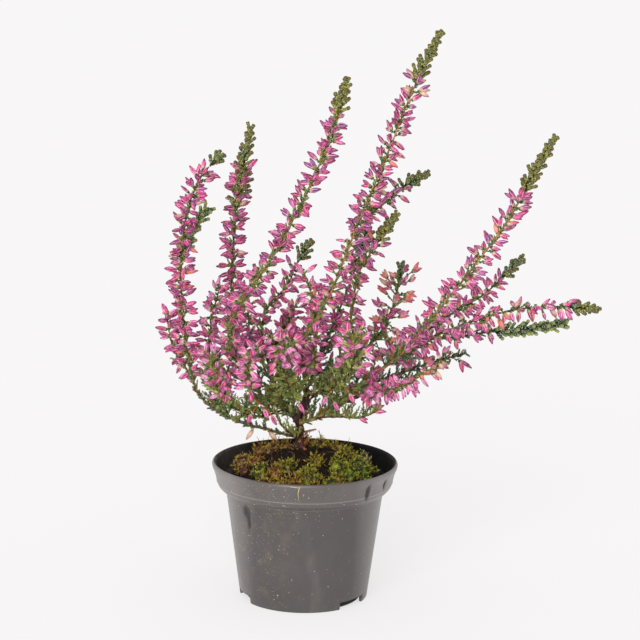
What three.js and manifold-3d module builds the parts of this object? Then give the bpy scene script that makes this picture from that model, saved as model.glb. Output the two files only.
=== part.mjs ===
// A potted heather: a small tapered nursery pot, its root ball with moss cushions, and a short
// woody bush of flowering shoots. Millimetres, +Z up, front towards -Y, the pot's foot on z = 0.
import * as THREE from "three";
import { mergeVertices } from "three/addons/utils/BufferGeometryUtils.js";
import Module from "manifold-3d";

const wasm = await Module();
wasm.setup();

// ---------------------------------------------------------------- driving dimensions

const GAP = 0.3; // air between neighbouring pieces

const RIM_RADIUS = 35;
const POT_HEIGHT = 52;
const FOOT_RADIUS = 24.1;
const WALL = 1;
const SHOULDER_HEIGHT = 40.8; // where the tapered body meets the stepped shoulder
const SHOULDER_RADIUS = 29.6;
const BAND_HEIGHT = 44.3; // lower edge of the rim band
const BAND_RADIUS = 33;
const LIP_HEIGHT = 3; // the rolled lip at the top of the band
const FLOOR_HEIGHT = 3; // the floor stands this far above the ground, inside the foot ring
const NOTCH_WIDTH = 13;
const NOTCH_TURNS = [50, -70, 170]; // degrees from the front towards +X
const DRAIN_HOLES = 6;
const DRAIN_RADIUS = 2;
const DRAIN_CIRCLE = 14;
const POT_SEGMENTS = 32;

const SOIL_RADIUS = 27; // the root ball has shrunk away from the pot's wall
const SOIL_FOOT_RADIUS = 21.5;
const SOIL_EDGE = 46; // height of the mound's edge
const SOIL_CREST = 56; // height of the mound at the trunk
const SOIL_SEGMENTS = 24;

const TRUNK_FOOT = { x: -2, y: 2.5, z: 40 }; // the lower end of the trunk, inside the root ball
const TRUNK_RADIUS = 2.2;
const LIMB_RADIUS = 1.2;
const STEM_RADIUS = 0.8; // at a shoot's base
const STEM_TIP_RADIUS = 0.5;
const STEM_SIDES = 3;
const STEM_STEP = 9;

// Buds, the club-like side shoots of the green tips, and leafy sprigs, from the stem's axis out.
// The waist is where a piece is widest, as a share of its length.
const BUD = { length: 7, radius: 1.05, waist: 0.62 };
const CLUB = { length: 4.8, radius: 0.95, waist: 0.6 };
const SPRIG = { length: 4.8, radius: 0.9, waist: 0.52 };
const SPINDLE_SIDES = 3;
const END_SUNK = 0.75; // how much of a shoot's last piece lies back along its stem

const BUD_SPACING = 1.97; // along the stem
const CLUB_SPACING = 1.6;
const SPRIG_SPACING = 3.6;
const GOLDEN_ANGLE = Math.PI * (3 - Math.sqrt(5));
const TURN_SPREAD = 0.6; // radians by which a piece may stray from its place round the stem
const LEAN_SPREAD = 24; // degrees over which the lean off the stem varies
const SIZE_RANGE = [0.88, 1.08];

// ---------------------------------------------------------------- the plant's plan

const TRUNK = [
  [TRUNK_FOOT.x, TRUNK_FOOT.y, TRUNK_FOOT.z], [TRUNK_FOOT.x, TRUNK_FOOT.y, 51],
  [-2, 2.5, 58], [-2, 2, 63], [-3, 1, 68], [-1, 1, 73], [1, 0, 79],
];
const LIMBS = [
  [[-3, 1, 69], [-8, -2, 72], [-12, -4, 74.5]],
  [[-3, 1, 66], [4, -2, 69], [9, -5, 73], [17, -9, 80], [25, -12, 88]],
];

// Each shoot runs along its path. The first `bare` millimetres are a woody twig of the trunk, or
// nothing on a shoot that springs from the side of another. Then come a leafy stretch, a spike of
// buds that fills what is left, and a green growing tip of `green` millimetres.
const FLOWERING_SHOOTS = [
  {
    name: "outer_left",
    path: [[-2, 2, 60], [-14, -5, 65], [-28, -12, 71], [-39, -17, 81], [-43, -20, 97],
      [-45, -22, 117], [-44, -24, 143], [-39, -26, 160], [-31, -27, 170]],
    bare: 9, leafy: 52, green: 6,
  },
  {
    name: "outer_left_side", side: true,
    path: [[-41.5, -18.5, 88], [-47, -16, 95], [-50, -14, 103], [-51, -13, 111]],
    bare: 0, leafy: 0, green: 0,
  },
  {
    name: "rear_left",
    path: [[-12, -4, 74.5], [-19, -1, 80], [-25, 3, 92], [-28, 6, 108], [-28, 9, 131],
      [-27, 11, 147], [-24, 12, 163], [-22, 12, 176]],
    bare: 11, leafy: 14, green: 16,
  },
  {
    name: "left_lean",
    path: [[-12, -4, 74.5], [-18, -10, 81], [-25, -18, 94], [-28, -22, 105], [-24, -25, 116],
      [-11, -28, 136], [-3, -30, 152], [3, -31, 165], [10, -33, 185], [13, -34, 197]],
    bare: 10, leafy: 15, green: 13,
  },
  {
    name: "left_low",
    path: [[-12, -4, 74.5], [-16, -14, 77], [-20, -24, 84], [-21, -30, 94], [-18, -33, 103]],
    bare: 14, leafy: 0, green: 0,
  },
  {
    name: "left_middle", side: true,
    path: [[-28, -12, 71], [-33, -9, 81], [-36, -6, 94], [-35, -5, 107], [-32, -6, 119]],
    bare: 0, leafy: 22, green: 0,
  },
  {
    name: "tallest",
    path: [[-8, -2, 72], [-11, -8, 79], [-11, -15, 88], [-1, -20, 103], [8, -22, 119],
      [13, -22, 132], [19, -21, 148], [28, -19, 170], [34, -18, 186], [41, -16, 203], [46, -15, 213]],
    bare: 9, leafy: 20, green: 20,
  },
  {
    name: "tallest_side", side: true,
    path: [[19, -21, 148], [24, -13, 149], [30, -4, 153], [37, 4, 157], [44, 9, 160]],
    bare: 0, leafy: 0, green: 13,
  },
  {
    name: "centre",
    path: [[0, 0, 76], [-1, -8, 84], [2, -12, 95], [4, -14, 106], [2, -15, 117], [-1, -16, 126]],
    bare: 18, leafy: 0, green: 0,
  },
  {
    name: "middle_left",
    path: [[-3, 1, 69], [-9, 6, 75], [-15, 12, 88], [-17, 15, 101], [-14, 17, 109], [-8, 19, 115],
      [-4, 21, 124], [1, 22, 132]],
    bare: 10, leafy: 20, green: 10,
  },
  {
    name: "middle_right",
    path: [[0, 0, 77], [8, -2, 84], [15, -4, 95], [16, -6, 105], [17, -8, 115], [19, -9, 126],
      [25, -10, 136], [32, -10, 147]],
    bare: 10, leafy: 22, green: 13,
  },
  {
    name: "back_middle",
    path: [[0, 0, 78], [4, 6, 88], [10, 11, 102], [16, 14, 118], [20, 14, 130], [22, 12, 142]],
    bare: 9, leafy: 16, green: 9,
  },
  {
    name: "back_right",
    path: [[0, 1, 74], [9, 11, 80], [20, 24, 88], [30, 33, 97], [34, 38, 108], [37, 41, 120]],
    bare: 10, leafy: 24, green: 5,
  },
  {
    name: "back_left",
    path: [[-3, 2, 65], [-8, 11, 71], [-16, 22, 82], [-22, 29, 95], [-23, 33, 107], [-20, 35, 119]],
    bare: 10, leafy: 24, green: 8,
  },
  {
    name: "back_low",
    path: [[-2, 1, 70], [0, 10, 76], [-1, 21, 83], [0, 31, 92], [3, 37, 102], [5, 40, 113]],
    bare: 9, leafy: 18, green: 0,
  },
  {
    name: "right_high",
    path: [[25, -12, 88], [35, -16, 97], [42, -19, 107], [51, -22, 119], [61, -25, 133],
      [72, -28, 150], [79, -30, 165], [86, -32, 178]],
    bare: 18, leafy: 0, green: 23,
  },
  {
    name: "right_flat",
    path: [[25, -12, 88], [34, -10, 94], [45, -9, 101], [59, -8, 107], [77, -6, 112],
      [92, -5, 113], [107, -4, 112]],
    bare: 13, leafy: 0, green: 11,
  },
  {
    name: "right_middle",
    path: [[25, -12, 88], [31, -3, 91], [41, 6, 98], [50, 11, 104], [57, 14, 108], [66, 16, 113],
      [75, 18, 121], [81, 19, 127]],
    bare: 12, leafy: 34, green: 11,
  },
  {
    name: "right_low",
    path: [[17, -9, 80], [25, -16, 82], [34, -22, 86], [42, -25, 91], [49, -27, 97]],
    bare: 8, leafy: 0, green: 0,
  },
];

// Shoots without buds, leafy from their woody twig to their end.
const LEAFY_SHOOTS = [
  {
    name: "outer_left_green", side: true, bare: 0,
    path: [[-44.5, -23, 131], [-44, -16, 136], [-41, -12, 142], [-37, -11, 148]],
  },
  {
    name: "right_flat_green", side: true, bare: 0,
    path: [[45, -9, 101], [55, 0, 100], [68, 6, 101], [84, 9, 102], [97, 10, 104]],
  },
  {
    name: "right_rear_green", bare: 9,
    path: [[17, -9, 80], [27, 0, 83], [38, 9, 85], [50, 15, 88], [61, 19, 90]],
  },
  {
    name: "low_right_rear", bare: 9,
    path: [[9, -5, 73], [18, 4, 75], [30, 13, 78], [43, 20, 81], [55, 24, 85]],
  },
  {
    name: "low_right_front", bare: 7,
    path: [[4, -2, 69], [12, -8, 71], [20, -13, 72], [27, -17, 76]],
  },
  {
    name: "front_left_green", bare: 9,
    path: [[0, 0, 76], [-5, -9, 80], [-6, -20, 85], [-8, -28, 93], [-8, -33, 101]],
  },
  {
    name: "front_right_green", bare: 9,
    path: [[0, 0, 77], [8, -8, 81], [14, -17, 87], [17, -24, 95], [17, -28, 105]],
  },
  {
    name: "left_green", bare: 9,
    path: [[-8, -2, 72], [-17, -9, 71], [-26, -17, 76], [-32, -23, 85], [-34, -26, 96]],
  },
  {
    name: "trunk_sprig", bare: 6,
    path: [[-2, 2, 60], [-6, -6, 64], [-10, -13, 71], [-12, -17, 79]],
  },
];

// Moss cushions lie in a ring round the trunk: where their middle is, in degrees from +X, how far
// they reach to each side of it, and how high they stand.
const MOSS_CUSHIONS = [
  { name: "moss_front", turn: -105, reach: 50, height: 3.4, colour: 0x8f8f2c },
  { name: "moss_right", turn: -22, reach: 31, height: 4.2, colour: 0x76a51f },
  { name: "moss_back", turn: 62, reach: 50, height: 3, colour: 0x8a8a34 },
  { name: "moss_left", turn: 160, reach: 44, height: 3.6, colour: 0x8b6a3a },
];
const MOSS_INNER = 7; // the ring's inner and outer edge
const MOSS_OUTER = 25.5;

// ---------------------------------------------------------------- materials

const potPlastic = new THREE.MeshStandardMaterial({ color: 0x6b6361, roughness: 0.5 });
const soil = new THREE.MeshStandardMaterial({ color: 0x3a2a1e, roughness: 0.95 });
const bark = new THREE.MeshStandardMaterial({ color: 0x4a2e22, roughness: 0.9 });
const leafGreen = new THREE.MeshStandardMaterial({ color: 0x56682f, roughness: 0.7 });
const tipGreen = new THREE.MeshStandardMaterial({ color: 0x7c8a3a, roughness: 0.7 });
const budPink = new THREE.MeshStandardMaterial({ color: 0xb8437f, roughness: 0.55 });

// ---------------------------------------------------------------- solids

/** A closed geometry as a solid, without the empty triangles at a lathe's poles. */
function toSolid(geometry) {
  geometry.deleteAttribute("normal");
  geometry.deleteAttribute("uv");
  const merged = mergeVertices(geometry, 1e-4);
  const corners = merged.index.array;
  const triangles = [];
  for (let i = 0; i < corners.length; i += 3) {
    const [a, b, c] = corners.slice(i, i + 3);
    if (a !== b && b !== c && c !== a) triangles.push(a, b, c);
  }
  return new wasm.Manifold(new wasm.Mesh({
    numProp: 3,
    vertProperties: new Float32Array(merged.attributes.position.array),
    triVerts: new Uint32Array(triangles),
  }));
}

/** The largest body of a solid. Loose scraps go, and so do hollows that fusing has sealed. */
function toGeometry(solid) {
  const bodies = solid.decompose().sort((a, b) => b.volume() - a.volume());
  const { vertProperties, triVerts } = bodies[0].getMesh();
  const geometry = new THREE.BufferGeometry();
  geometry.setAttribute("position", new THREE.BufferAttribute(vertProperties, 3));
  geometry.setIndex(new THREE.BufferAttribute(triVerts, 1));
  return geometry;
}

function fuse(solids) {
  return wasm.Manifold.union(solids);
}

function makeMesh(name, solid, material) {
  const mesh = new THREE.Mesh(toGeometry(solid), material);
  mesh.name = name;
  return mesh;
}

/** A lathe about the Z axis from a profile of [radius, height] pairs. */
function turned(profile, segments) {
  const points = profile.map(([radius, height]) => new THREE.Vector2(radius, height));
  return new THREE.LatheGeometry(points, segments).rotateX(Math.PI / 2);
}

/** Moves every vertex of a geometry by a function of its place. */
function displace(geometry, move) {
  const position = geometry.attributes.position;
  const vertex = new THREE.Vector3();
  for (let i = 0; i < position.count; i++) {
    move(vertex.fromBufferAttribute(position, i));
    position.setXYZ(i, vertex.x, vertex.y, vertex.z);
  }
  return geometry;
}

// ---------------------------------------------------------------- pot

function makePot() {
  const lipBottom = POT_HEIGHT - LIP_HEIGHT;
  const floorTop = FLOOR_HEIGHT + WALL;
  const outside = [
    [0, FLOOR_HEIGHT], [FOOT_RADIUS - 1.2 * WALL, FLOOR_HEIGHT], [FOOT_RADIUS - 1.2 * WALL, 0],
    [FOOT_RADIUS, 0], [SHOULDER_RADIUS, SHOULDER_HEIGHT],
    [BAND_RADIUS - 1.6, SHOULDER_HEIGHT + 1], [BAND_RADIUS - 0.4, BAND_HEIGHT - 1.2],
    [BAND_RADIUS, BAND_HEIGHT], [RIM_RADIUS - 1, lipBottom - 0.4], [RIM_RADIUS - 0.15, lipBottom + 0.5],
    [RIM_RADIUS, POT_HEIGHT - 1], [RIM_RADIUS - 0.4, POT_HEIGHT],
  ];
  const inside = [
    [RIM_RADIUS - 1.1, POT_HEIGHT], [RIM_RADIUS - 2, lipBottom],
    [BAND_RADIUS - WALL, BAND_HEIGHT + 0.6], [SHOULDER_RADIUS - WALL, SHOULDER_HEIGHT + 0.8],
    [FOOT_RADIUS - WALL + 0.6, floorTop], [0, floorTop],
  ];
  const shell = toSolid(turned([...outside, ...inside], POT_SEGMENTS));
  return makeMesh("pot", shell.subtract(fuse([...footNotches(), ...drainHoles()])), potPlastic);
}

function footNotches() {
  const height = FLOOR_HEIGHT - 0.1;
  return NOTCH_TURNS.map((turn) => {
    const notch = new THREE.BoxGeometry(NOTCH_WIDTH, 6, 2 * height);
    notch.translate(0, -FOOT_RADIUS, 0).rotateZ(THREE.MathUtils.degToRad(turn));
    return toSolid(notch);
  });
}

function drainHoles() {
  return Array.from({ length: DRAIN_HOLES }, (_, i) => {
    const hole = new THREE.CylinderGeometry(DRAIN_RADIUS, DRAIN_RADIUS, 4 * WALL, 8).rotateX(Math.PI / 2);
    const turn = (2 * Math.PI * (i + 0.5)) / DRAIN_HOLES;
    hole.translate(DRAIN_CIRCLE * Math.cos(turn), DRAIN_CIRCLE * Math.sin(turn), FLOOR_HEIGHT + WALL / 2);
    return toSolid(hole);
  });
}

// ---------------------------------------------------------------- root ball and moss

/** Lumps of soil, as a height in millimetres over a place. */
function lumps(x, y) {
  return 0.9 * Math.sin(0.45 * x + 1) * Math.cos(0.5 * y) + 0.5 * Math.sin(0.9 * y + 0.3 * x + 2);
}

/** Height of the mound's top at a distance from the axis. */
function moundHeight(radius) {
  const reach = Math.min(radius / SOIL_RADIUS, 1);
  return SOIL_EDGE + (SOIL_CREST - SOIL_EDGE) * (1 - reach ** 2.2);
}

/** The root ball, or with `extra` a copy that is larger all round. */
function rootBallSolid(extra = 0) {
  const bottom = FLOOR_HEIGHT + WALL + GAP - extra;
  const profile = [[0, bottom], [SOIL_FOOT_RADIUS + extra, bottom], [SOIL_RADIUS - 2 + extra, 24]];
  profile.push([SOIL_RADIUS + extra, SOIL_EDGE - 6]);
  for (const part of [1, 0.93, 0.78, 0.6, 0.42, 0.22]) {
    profile.push([part * SOIL_RADIUS + extra, moundHeight(part * SOIL_RADIUS) + extra]);
  }
  profile.push([0, moundHeight(0) + extra]);
  const lumpy = displace(turned(profile, SOIL_SEGMENTS), (v) => {
    const reach = Math.hypot(v.x, v.y) / SOIL_RADIUS;
    if (v.z > SOIL_EDGE - 4) v.z += lumps(v.x, v.y) * (1 - 0.5 * reach);
    const swell = 1 + (v.z > 6 ? 0.02 * Math.sin(5 * Math.atan2(v.y, v.x) + 0.2 * v.z) * reach : 0);
    v.x *= swell;
    v.y *= swell;
  });
  return toSolid(lumpy);
}

/** A plain round hole for the trunk, up through the mound. */
function trunkHole() {
  const radius = TRUNK_RADIUS + 1.5 * GAP;
  const height = SOIL_CREST;
  const hole = new THREE.CylinderGeometry(radius, radius, height, 12).rotateX(Math.PI / 2);
  return toSolid(hole.translate(TRUNK_FOOT.x, TRUNK_FOOT.y, TRUNK_FOOT.z - GAP + height / 2));
}

function makeRootBall() {
  return makeMesh("root_ball", rootBallSolid().subtract(trunkHole()), soil);
}

/** A tufted cushion of moss, a dome bent along the ring, that follows the mound under it. */
function makeMossCushion({ name, turn, reach, height, colour }) {
  const fuller = (share) => Math.sign(share) * Math.abs(share) ** 0.7;
  const dome = displace(new THREE.SphereGeometry(1, 14, 8).rotateX(Math.PI / 2), (v) => {
    const radius = THREE.MathUtils.mapLinear(fuller(v.x), -1, 1, MOSS_INNER, MOSS_OUTER);
    const angle = THREE.MathUtils.degToRad(turn + fuller(v.y) * reach);
    const tuft = 1 + 0.4 * Math.sin(1.3 * radius + turn) * Math.cos(11 * angle);
    const z = moundHeight(radius) + v.z * height * tuft;
    v.set(radius * Math.cos(angle), radius * Math.sin(angle), z);
  });
  const cushion = toSolid(dome).subtract(rootBallSolid(GAP));
  return makeMesh(name, cushion, new THREE.MeshStandardMaterial({ color: colour, roughness: 1 }));
}

// ---------------------------------------------------------------- stems

/** A stretch of a longer curve, between two distances from its start. */
class Stretch extends THREE.Curve {
  constructor(whole, from, to) {
    super();
    Object.assign(this, { whole, from, to });
  }

  getPoint(t, target) {
    const distance = THREE.MathUtils.lerp(this.from, this.to, t);
    return this.whole.getPointAt(Math.min(distance / this.whole.getLength(), 1), target);
  }
}

/** A tapered stem with flat ends along a curve. radiusAt takes the share of the way along it. */
function stemSolid(curve, radiusAt, sides, stepLength) {
  const steps = Math.max(1, Math.round(curve.getLength() / stepLength));
  const frames = curve.computeFrenetFrames(steps, false);
  const positions = [];
  const index = [];
  for (let i = 0; i <= steps; i++) {
    const centre = curve.getPointAt(i / steps);
    for (let k = 0; k < sides; k++) {
      const angle = (2 * Math.PI * k) / sides;
      const corner = centre.clone()
        .addScaledVector(frames.normals[i], radiusAt(i / steps) * Math.cos(angle))
        .addScaledVector(frames.binormals[i], radiusAt(i / steps) * Math.sin(angle));
      positions.push(...corner.toArray());
    }
  }
  for (let i = 0; i < steps; i++) {
    for (let k = 0; k < sides; k++) {
      const [a, b] = [i * sides + k, i * sides + ((k + 1) % sides)];
      index.push(a, b, b + sides, a, b + sides, a + sides);
    }
  }
  for (let k = 1; k < sides - 1; k++) {
    const end = steps * sides;
    index.push(0, k + 1, k, end, end + k, end + k + 1);
  }
  const geometry = new THREE.BufferGeometry();
  geometry.setAttribute("position", new THREE.Float32BufferAttribute(positions, 3));
  geometry.setIndex(index);
  return toSolid(geometry);
}

function pathCurve(path) {
  return new THREE.CatmullRomCurve3(path.map((point) => new THREE.Vector3(...point)), false, "centripetal");
}

// ---------------------------------------------------------------- keeping clear

// Stems, buds and sprigs are noted as strings of balls in a grid of cells, so that each new bud
// or sprig can be turned away from those of other pieces.
const CELL = 4;
const BALL_STEP = 0.8; // along a stem
const CLEARANCE = 0.15;
const LOWEST_LEAF = 60; // nothing hangs over the rim lower than this
const ballsByCell = new Map();

function cellKey(x, y, z) {
  return `${Math.floor(x / CELL)},${Math.floor(y / CELL)},${Math.floor(z / CELL)}`;
}

function noteBall(owner, centre, radius) {
  const key = cellKey(centre.x, centre.y, centre.z);
  if (!ballsByCell.has(key)) ballsByCell.set(key, []);
  ballsByCell.get(key).push({ owner, centre, radius });
}

function isClear(owner, { centre, radius }) {
  if (centre.z < LOWEST_LEAF) return false;
  for (const dx of [-CELL, 0, CELL]) {
    for (const dy of [-CELL, 0, CELL]) {
      for (const dz of [-CELL, 0, CELL]) {
        const near = ballsByCell.get(cellKey(centre.x + dx, centre.y + dy, centre.z + dz)) ?? [];
        const touches = (ball) => ball.owner !== owner
          && ball.centre.distanceTo(centre) < ball.radius + radius + CLEARANCE;
        if (near.some(touches)) return false;
      }
    }
  }
  return true;
}

function noteStem(owner, curve, radiusAt) {
  const count = Math.ceil(curve.getLength() / BALL_STEP);
  for (let i = 0; i <= count; i++) noteBall(owner, curve.getPointAt(i / count), radiusAt(i / count));
}

// ---------------------------------------------------------------- buds, clubs and sprigs

/** A seeded source of numbers from 0 to 1. */
function seededRandom(text) {
  let state = [...text].reduce((sum, letter) => (sum * 31 + letter.charCodeAt(0)) >>> 0, 7);
  return () => {
    state = (state + 0x6d2b79f5) >>> 0;
    let mixed = Math.imul(state ^ (state >>> 15), 1 | state);
    mixed = (mixed + Math.imul(mixed ^ (mixed >>> 7), 61 | mixed)) ^ mixed;
    return ((mixed ^ (mixed >>> 14)) >>> 0) / 4294967296;
  };
}

/** A spindle from a root to a point, widest at its waist. */
function spindleSolid(kind, root, direction, length) {
  const spindle = turned([[0, 0], [kind.radius, kind.waist * length], [0, length]], SPINDLE_SIDES);
  const turn = new THREE.Quaternion().setFromUnitVectors(new THREE.Vector3(0, 0, 1), direction);
  return toSolid(spindle.applyQuaternion(turn).translate(root.x, root.y, root.z));
}

/** The places along a spindle where a ball stands for it: share of its length, share of its width. */
const SPINDLE_BALLS = [[0.4, 0.7], [0.62, 1], [0.85, 0.6]];

function spindleBalls(kind, root, direction, length) {
  return SPINDLE_BALLS.map(([along, width]) => ({
    centre: root.clone().addScaledVector(direction, along * length),
    radius: kind.radius * width,
  }));
}

/** The directions that a bud or sprig may take: leaning off the stem by `lean`, then turned aside. */
function directionsAt(tangent, turn, lean, droop) {
  const side = new THREE.Vector3(0, 0, 1).cross(tangent);
  if (side.lengthSq() < 0.01) side.set(1, 0, 0);
  side.normalize();
  return [0, 0.5, -0.5, 1, -1, 1.7, -1.7].map((aside) => {
    const outward = side.clone().applyAxisAngle(tangent, turn + aside);
    const direction = outward.multiplyScalar(Math.sin(lean)).addScaledVector(tangent, Math.cos(lean));
    direction.z -= droop;
    return direction.normalize();
  });
}

/** Places spindles of one kind all round a stem, each clear of every other piece. */
function grow(owner, curve, kind, { spacing, lean, droop, random, taper = 1 }) {
  const length = curve.getLength();
  const solids = [];
  const count = Math.round(length / spacing);
  for (let i = 0; i < count; i++) {
    const share = (i + 0.5) / count;
    const root = curve.getPointAt(share);
    const size = kind.length * THREE.MathUtils.lerp(...SIZE_RANGE, random()) * (1 - (1 - taper) * share);
    const turn = i * GOLDEN_ANGLE + TURN_SPREAD * random();
    const leaning = THREE.MathUtils.degToRad(lean + LEAN_SPREAD * (random() - 0.5));
    const isFree = (way) => spindleBalls(kind, root, way, size).every((ball) => isClear(owner, ball));
    const direction = directionsAt(curve.getTangentAt(share), turn, leaning, droop).find(isFree);
    if (!direction) continue;
    for (const ball of spindleBalls(kind, root, direction, size)) noteBall(owner, ball.centre, ball.radius);
    solids.push(spindleSolid(kind, root, direction, size));
  }
  return solids;
}

// ---------------------------------------------------------------- shoots

const ZONES = {
  leaves: { kind: SPRIG, spacing: SPRIG_SPACING, lean: 42, droop: 0, material: leafGreen },
  buds: { kind: BUD, spacing: BUD_SPACING, lean: 66, droop: 0.12, material: budPink },
  tip: { kind: CLUB, spacing: CLUB_SPACING, lean: 40, droop: 0, material: tipGreen, taper: 0.7 },
};

/** The stem radius of a shoot at a distance from the start of its curve. */
function shootRadius(curve, distance) {
  return THREE.MathUtils.lerp(STEM_RADIUS, STEM_TIP_RADIUS, distance / curve.getLength());
}

/** Cuts a shoot into its coloured stretches, with a gap before each. */
function stretchesOf({ name, curve, side, bare, leafy, green }) {
  const total = curve.getLength();
  const start = side ? STEM_RADIUS + GAP : bare;
  const leavesEnd = Math.min(start + leafy, total);
  const budsEnd = Math.max(total - green, leavesEnd);
  const zones = [["leaves", start, leavesEnd], ["buds", leavesEnd, budsEnd], ["tip", budsEnd, total]];
  return zones.filter(([, from, to]) => to - from > GAP).map(([zone, from, to]) => ({
    name: `${name}_${zone}`,
    zone,
    stretch: new Stretch(curve, from + GAP, to),
    radiusAt: (share) => shootRadius(curve, THREE.MathUtils.lerp(from, to, share)),
    endsGreen: to === total && zone !== "buds",
  }));
}

function makeShootPiece({ name, zone, stretch, radiusAt, endsGreen }) {
  const { kind, material, ...habit } = ZONES[zone];
  const random = seededRandom(name);
  const stem = stemSolid(stretch, radiusAt, STEM_SIDES, STEM_STEP);
  const solids = [stem, ...grow(name, stretch, kind, { ...habit, random })];
  if (endsGreen) {
    const ahead = stretch.getTangentAt(1);
    const root = stretch.getPointAt(1).addScaledVector(ahead, -END_SUNK * kind.length);
    solids.push(spindleSolid(kind, root, ahead, kind.length));
  }
  return makeMesh(name, fuse(solids), material);
}

/** The trunk, its limbs and the woody twig at the base of each shoot. */
function woodyParts(shoots) {
  const grown = (path, from, to, sides) => ({
    curve: pathCurve(path), sides, radiusAt: (share) => THREE.MathUtils.lerp(from, to, share),
  });
  const twigs = shoots.filter((shoot) => shoot.bare > 0).map((shoot) => ({
    curve: new Stretch(shoot.curve, 0, shoot.bare),
    sides: STEM_SIDES,
    radiusAt: (share) => shootRadius(shoot.curve, share * shoot.bare),
  }));
  const limbs = LIMBS.map((path) => grown(path, 1.2 * LIMB_RADIUS, 0.8 * LIMB_RADIUS, 5));
  return [grown(TRUNK, TRUNK_RADIUS, 0.7 * TRUNK_RADIUS, 7), ...limbs, ...twigs];
}

function makeTrunk(parts) {
  const stems = parts.map(({ curve, radiusAt, sides }) => stemSolid(curve, radiusAt, sides, STEM_STEP));
  return makeMesh("trunk", fuse(stems), bark);
}

// ---------------------------------------------------------------- assembly

const leafyOnly = LEAFY_SHOOTS.map((shoot) => ({ ...shoot, leafy: Infinity, green: 0 }));
const shoots = [...FLOWERING_SHOOTS, ...leafyOnly];
for (const shoot of shoots) shoot.curve = pathCurve(shoot.path);
const wood = woodyParts(shoots);
const shootPieces = shoots.flatMap(stretchesOf);
for (const part of wood) noteStem("trunk", part.curve, part.radiusAt);
for (const piece of shootPieces) noteStem(piece.name, piece.stretch, piece.radiusAt);

const plant = new THREE.Group();
plant.add(makePot(), makeRootBall(), ...MOSS_CUSHIONS.map(makeMossCushion));
plant.add(makeTrunk(wood), ...shootPieces.map(makeShootPiece));

// The origin is under the middle of the whole plant's box, on the ground.
const middle = new THREE.Box3().setFromObject(plant).getCenter(new THREE.Vector3());
plant.position.set(-middle.x, -middle.y, 0);

export default plant;
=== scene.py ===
# The looks of the potted heather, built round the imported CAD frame.
# The plant's plan is in millimetres from the pot's axis, as in the CAD source. Meshes are in metres.
import math
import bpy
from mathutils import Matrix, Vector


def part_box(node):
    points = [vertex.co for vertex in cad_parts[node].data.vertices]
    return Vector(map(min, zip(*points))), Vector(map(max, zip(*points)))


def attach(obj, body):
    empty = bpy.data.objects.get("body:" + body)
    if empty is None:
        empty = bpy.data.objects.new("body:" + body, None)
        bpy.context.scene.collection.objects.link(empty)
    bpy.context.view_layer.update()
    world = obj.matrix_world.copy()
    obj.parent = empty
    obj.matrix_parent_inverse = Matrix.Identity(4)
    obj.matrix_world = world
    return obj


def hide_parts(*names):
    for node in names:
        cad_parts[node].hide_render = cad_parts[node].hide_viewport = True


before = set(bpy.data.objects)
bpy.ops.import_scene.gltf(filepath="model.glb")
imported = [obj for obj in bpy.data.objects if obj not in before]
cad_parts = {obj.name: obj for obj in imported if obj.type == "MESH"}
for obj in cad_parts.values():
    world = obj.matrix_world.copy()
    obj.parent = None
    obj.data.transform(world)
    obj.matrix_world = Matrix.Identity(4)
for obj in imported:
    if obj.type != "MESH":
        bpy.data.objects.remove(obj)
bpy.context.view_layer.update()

import zlib

import bpy
import numpy as np
from mathutils import Matrix, Vector

MM = 0.001
POT_LOW, POT_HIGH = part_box("pot")
AXIS = np.array([(POT_LOW.x + POT_HIGH.x) / 2, (POT_LOW.y + POT_HIGH.y) / 2, 0])
UP = np.array([0, 0, 1.0])
GOLDEN_ANGLE = math.pi * (3 - math.sqrt(5))
ANY_TURN = (0, 6)  # the range of a turn or a roll that is left to chance, in radians

# ---------------------------------------------------------------- driving dimensions

# The pot.
RIM_RADIUS = (POT_HIGH.x - POT_LOW.x) / 2 / MM
POT_HEIGHT = POT_HIGH.z / MM
FOOT_RADIUS = 24.1
WALL = 1
SHOULDER_HEIGHT = 40.8
SHOULDER_RADIUS = 29.6
BAND_HEIGHT = 44.3
BAND_RADIUS = 33
# The rim band in profile, from the shoulder's step over its lower ridge: radii and heights.
BAND_PROFILE = [(31.4, 41.8), (32.6, 43.1), (BAND_RADIUS, BAND_HEIGHT), (33.3, 44.6), (33.25, 45.1),
                (33.8, 47.4)]
LIP_HEIGHT = 3
LIP_FOOT_RADIUS = 34.3
FLOOR_HEIGHT = 3
NOTCH_WIDTH = 13
NOTCH_TURNS = (50, -70, 170)  # degrees from the front towards +X
DRAIN_HOLES = 6
DRAIN_RADIUS = 2
DRAIN_CIRCLE = 14
GRAINS = 6000  # places tried for a grain of grit on its wall
POT_SEGMENTS = 96

# The root ball and its moss.
SOIL_RADIUS = 27
SOIL_FOOT_RADIUS = 21.5
SOIL_EDGE = 46
SOIL_CREST = 56
SOIL_MIDDLE = 24  # the height of the root ball's middle
MOUND_RINGS = 34
MOUND_SEGMENTS = 90
CRUMBS = 1500
FIBRES = 70
MOSS_DENSITY = 6  # moss shoots for a clump of 1 mm of reach

# The wood.
TRUNK_RADIUS = 1.7
LIMB_RADIUS = 0.52
STEM_RADIUS = 0.48
STEM_TIP_RADIUS = 0.26
CAD_STEM_RADIUS = 0.8
GAP = 0.3
STEM_STEP = 1.2
LEAFLESS = 0.35  # the share of a bare twig that is below its first leaves
DEAD_TWIGS = 26

# The buds, the scale leaves, and the twigs that carry them.
BUD_LENGTH = 4.2
BUD_RADIUS = 0.77
WHORL_STEP = 2.8
PALE_BELOW = 125  # the height below which buds get a paler tone, as painted light low in the bush
PALEST = 0.9  # the palest tone of a bud
SCALE_WIDTH = 1.4
CLUB_LENGTH = 3
CLUB_SPACING = 0.6
SPRIG_LENGTH = 4.6
TWIGLET_LENGTH = 3.4
BRANCH_LENGTH = 11
BRANCH_SPACING = 1.7
SPRIG_SPACING = 0.7

# ---------------------------------------------------------------- the plant's plan

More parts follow.
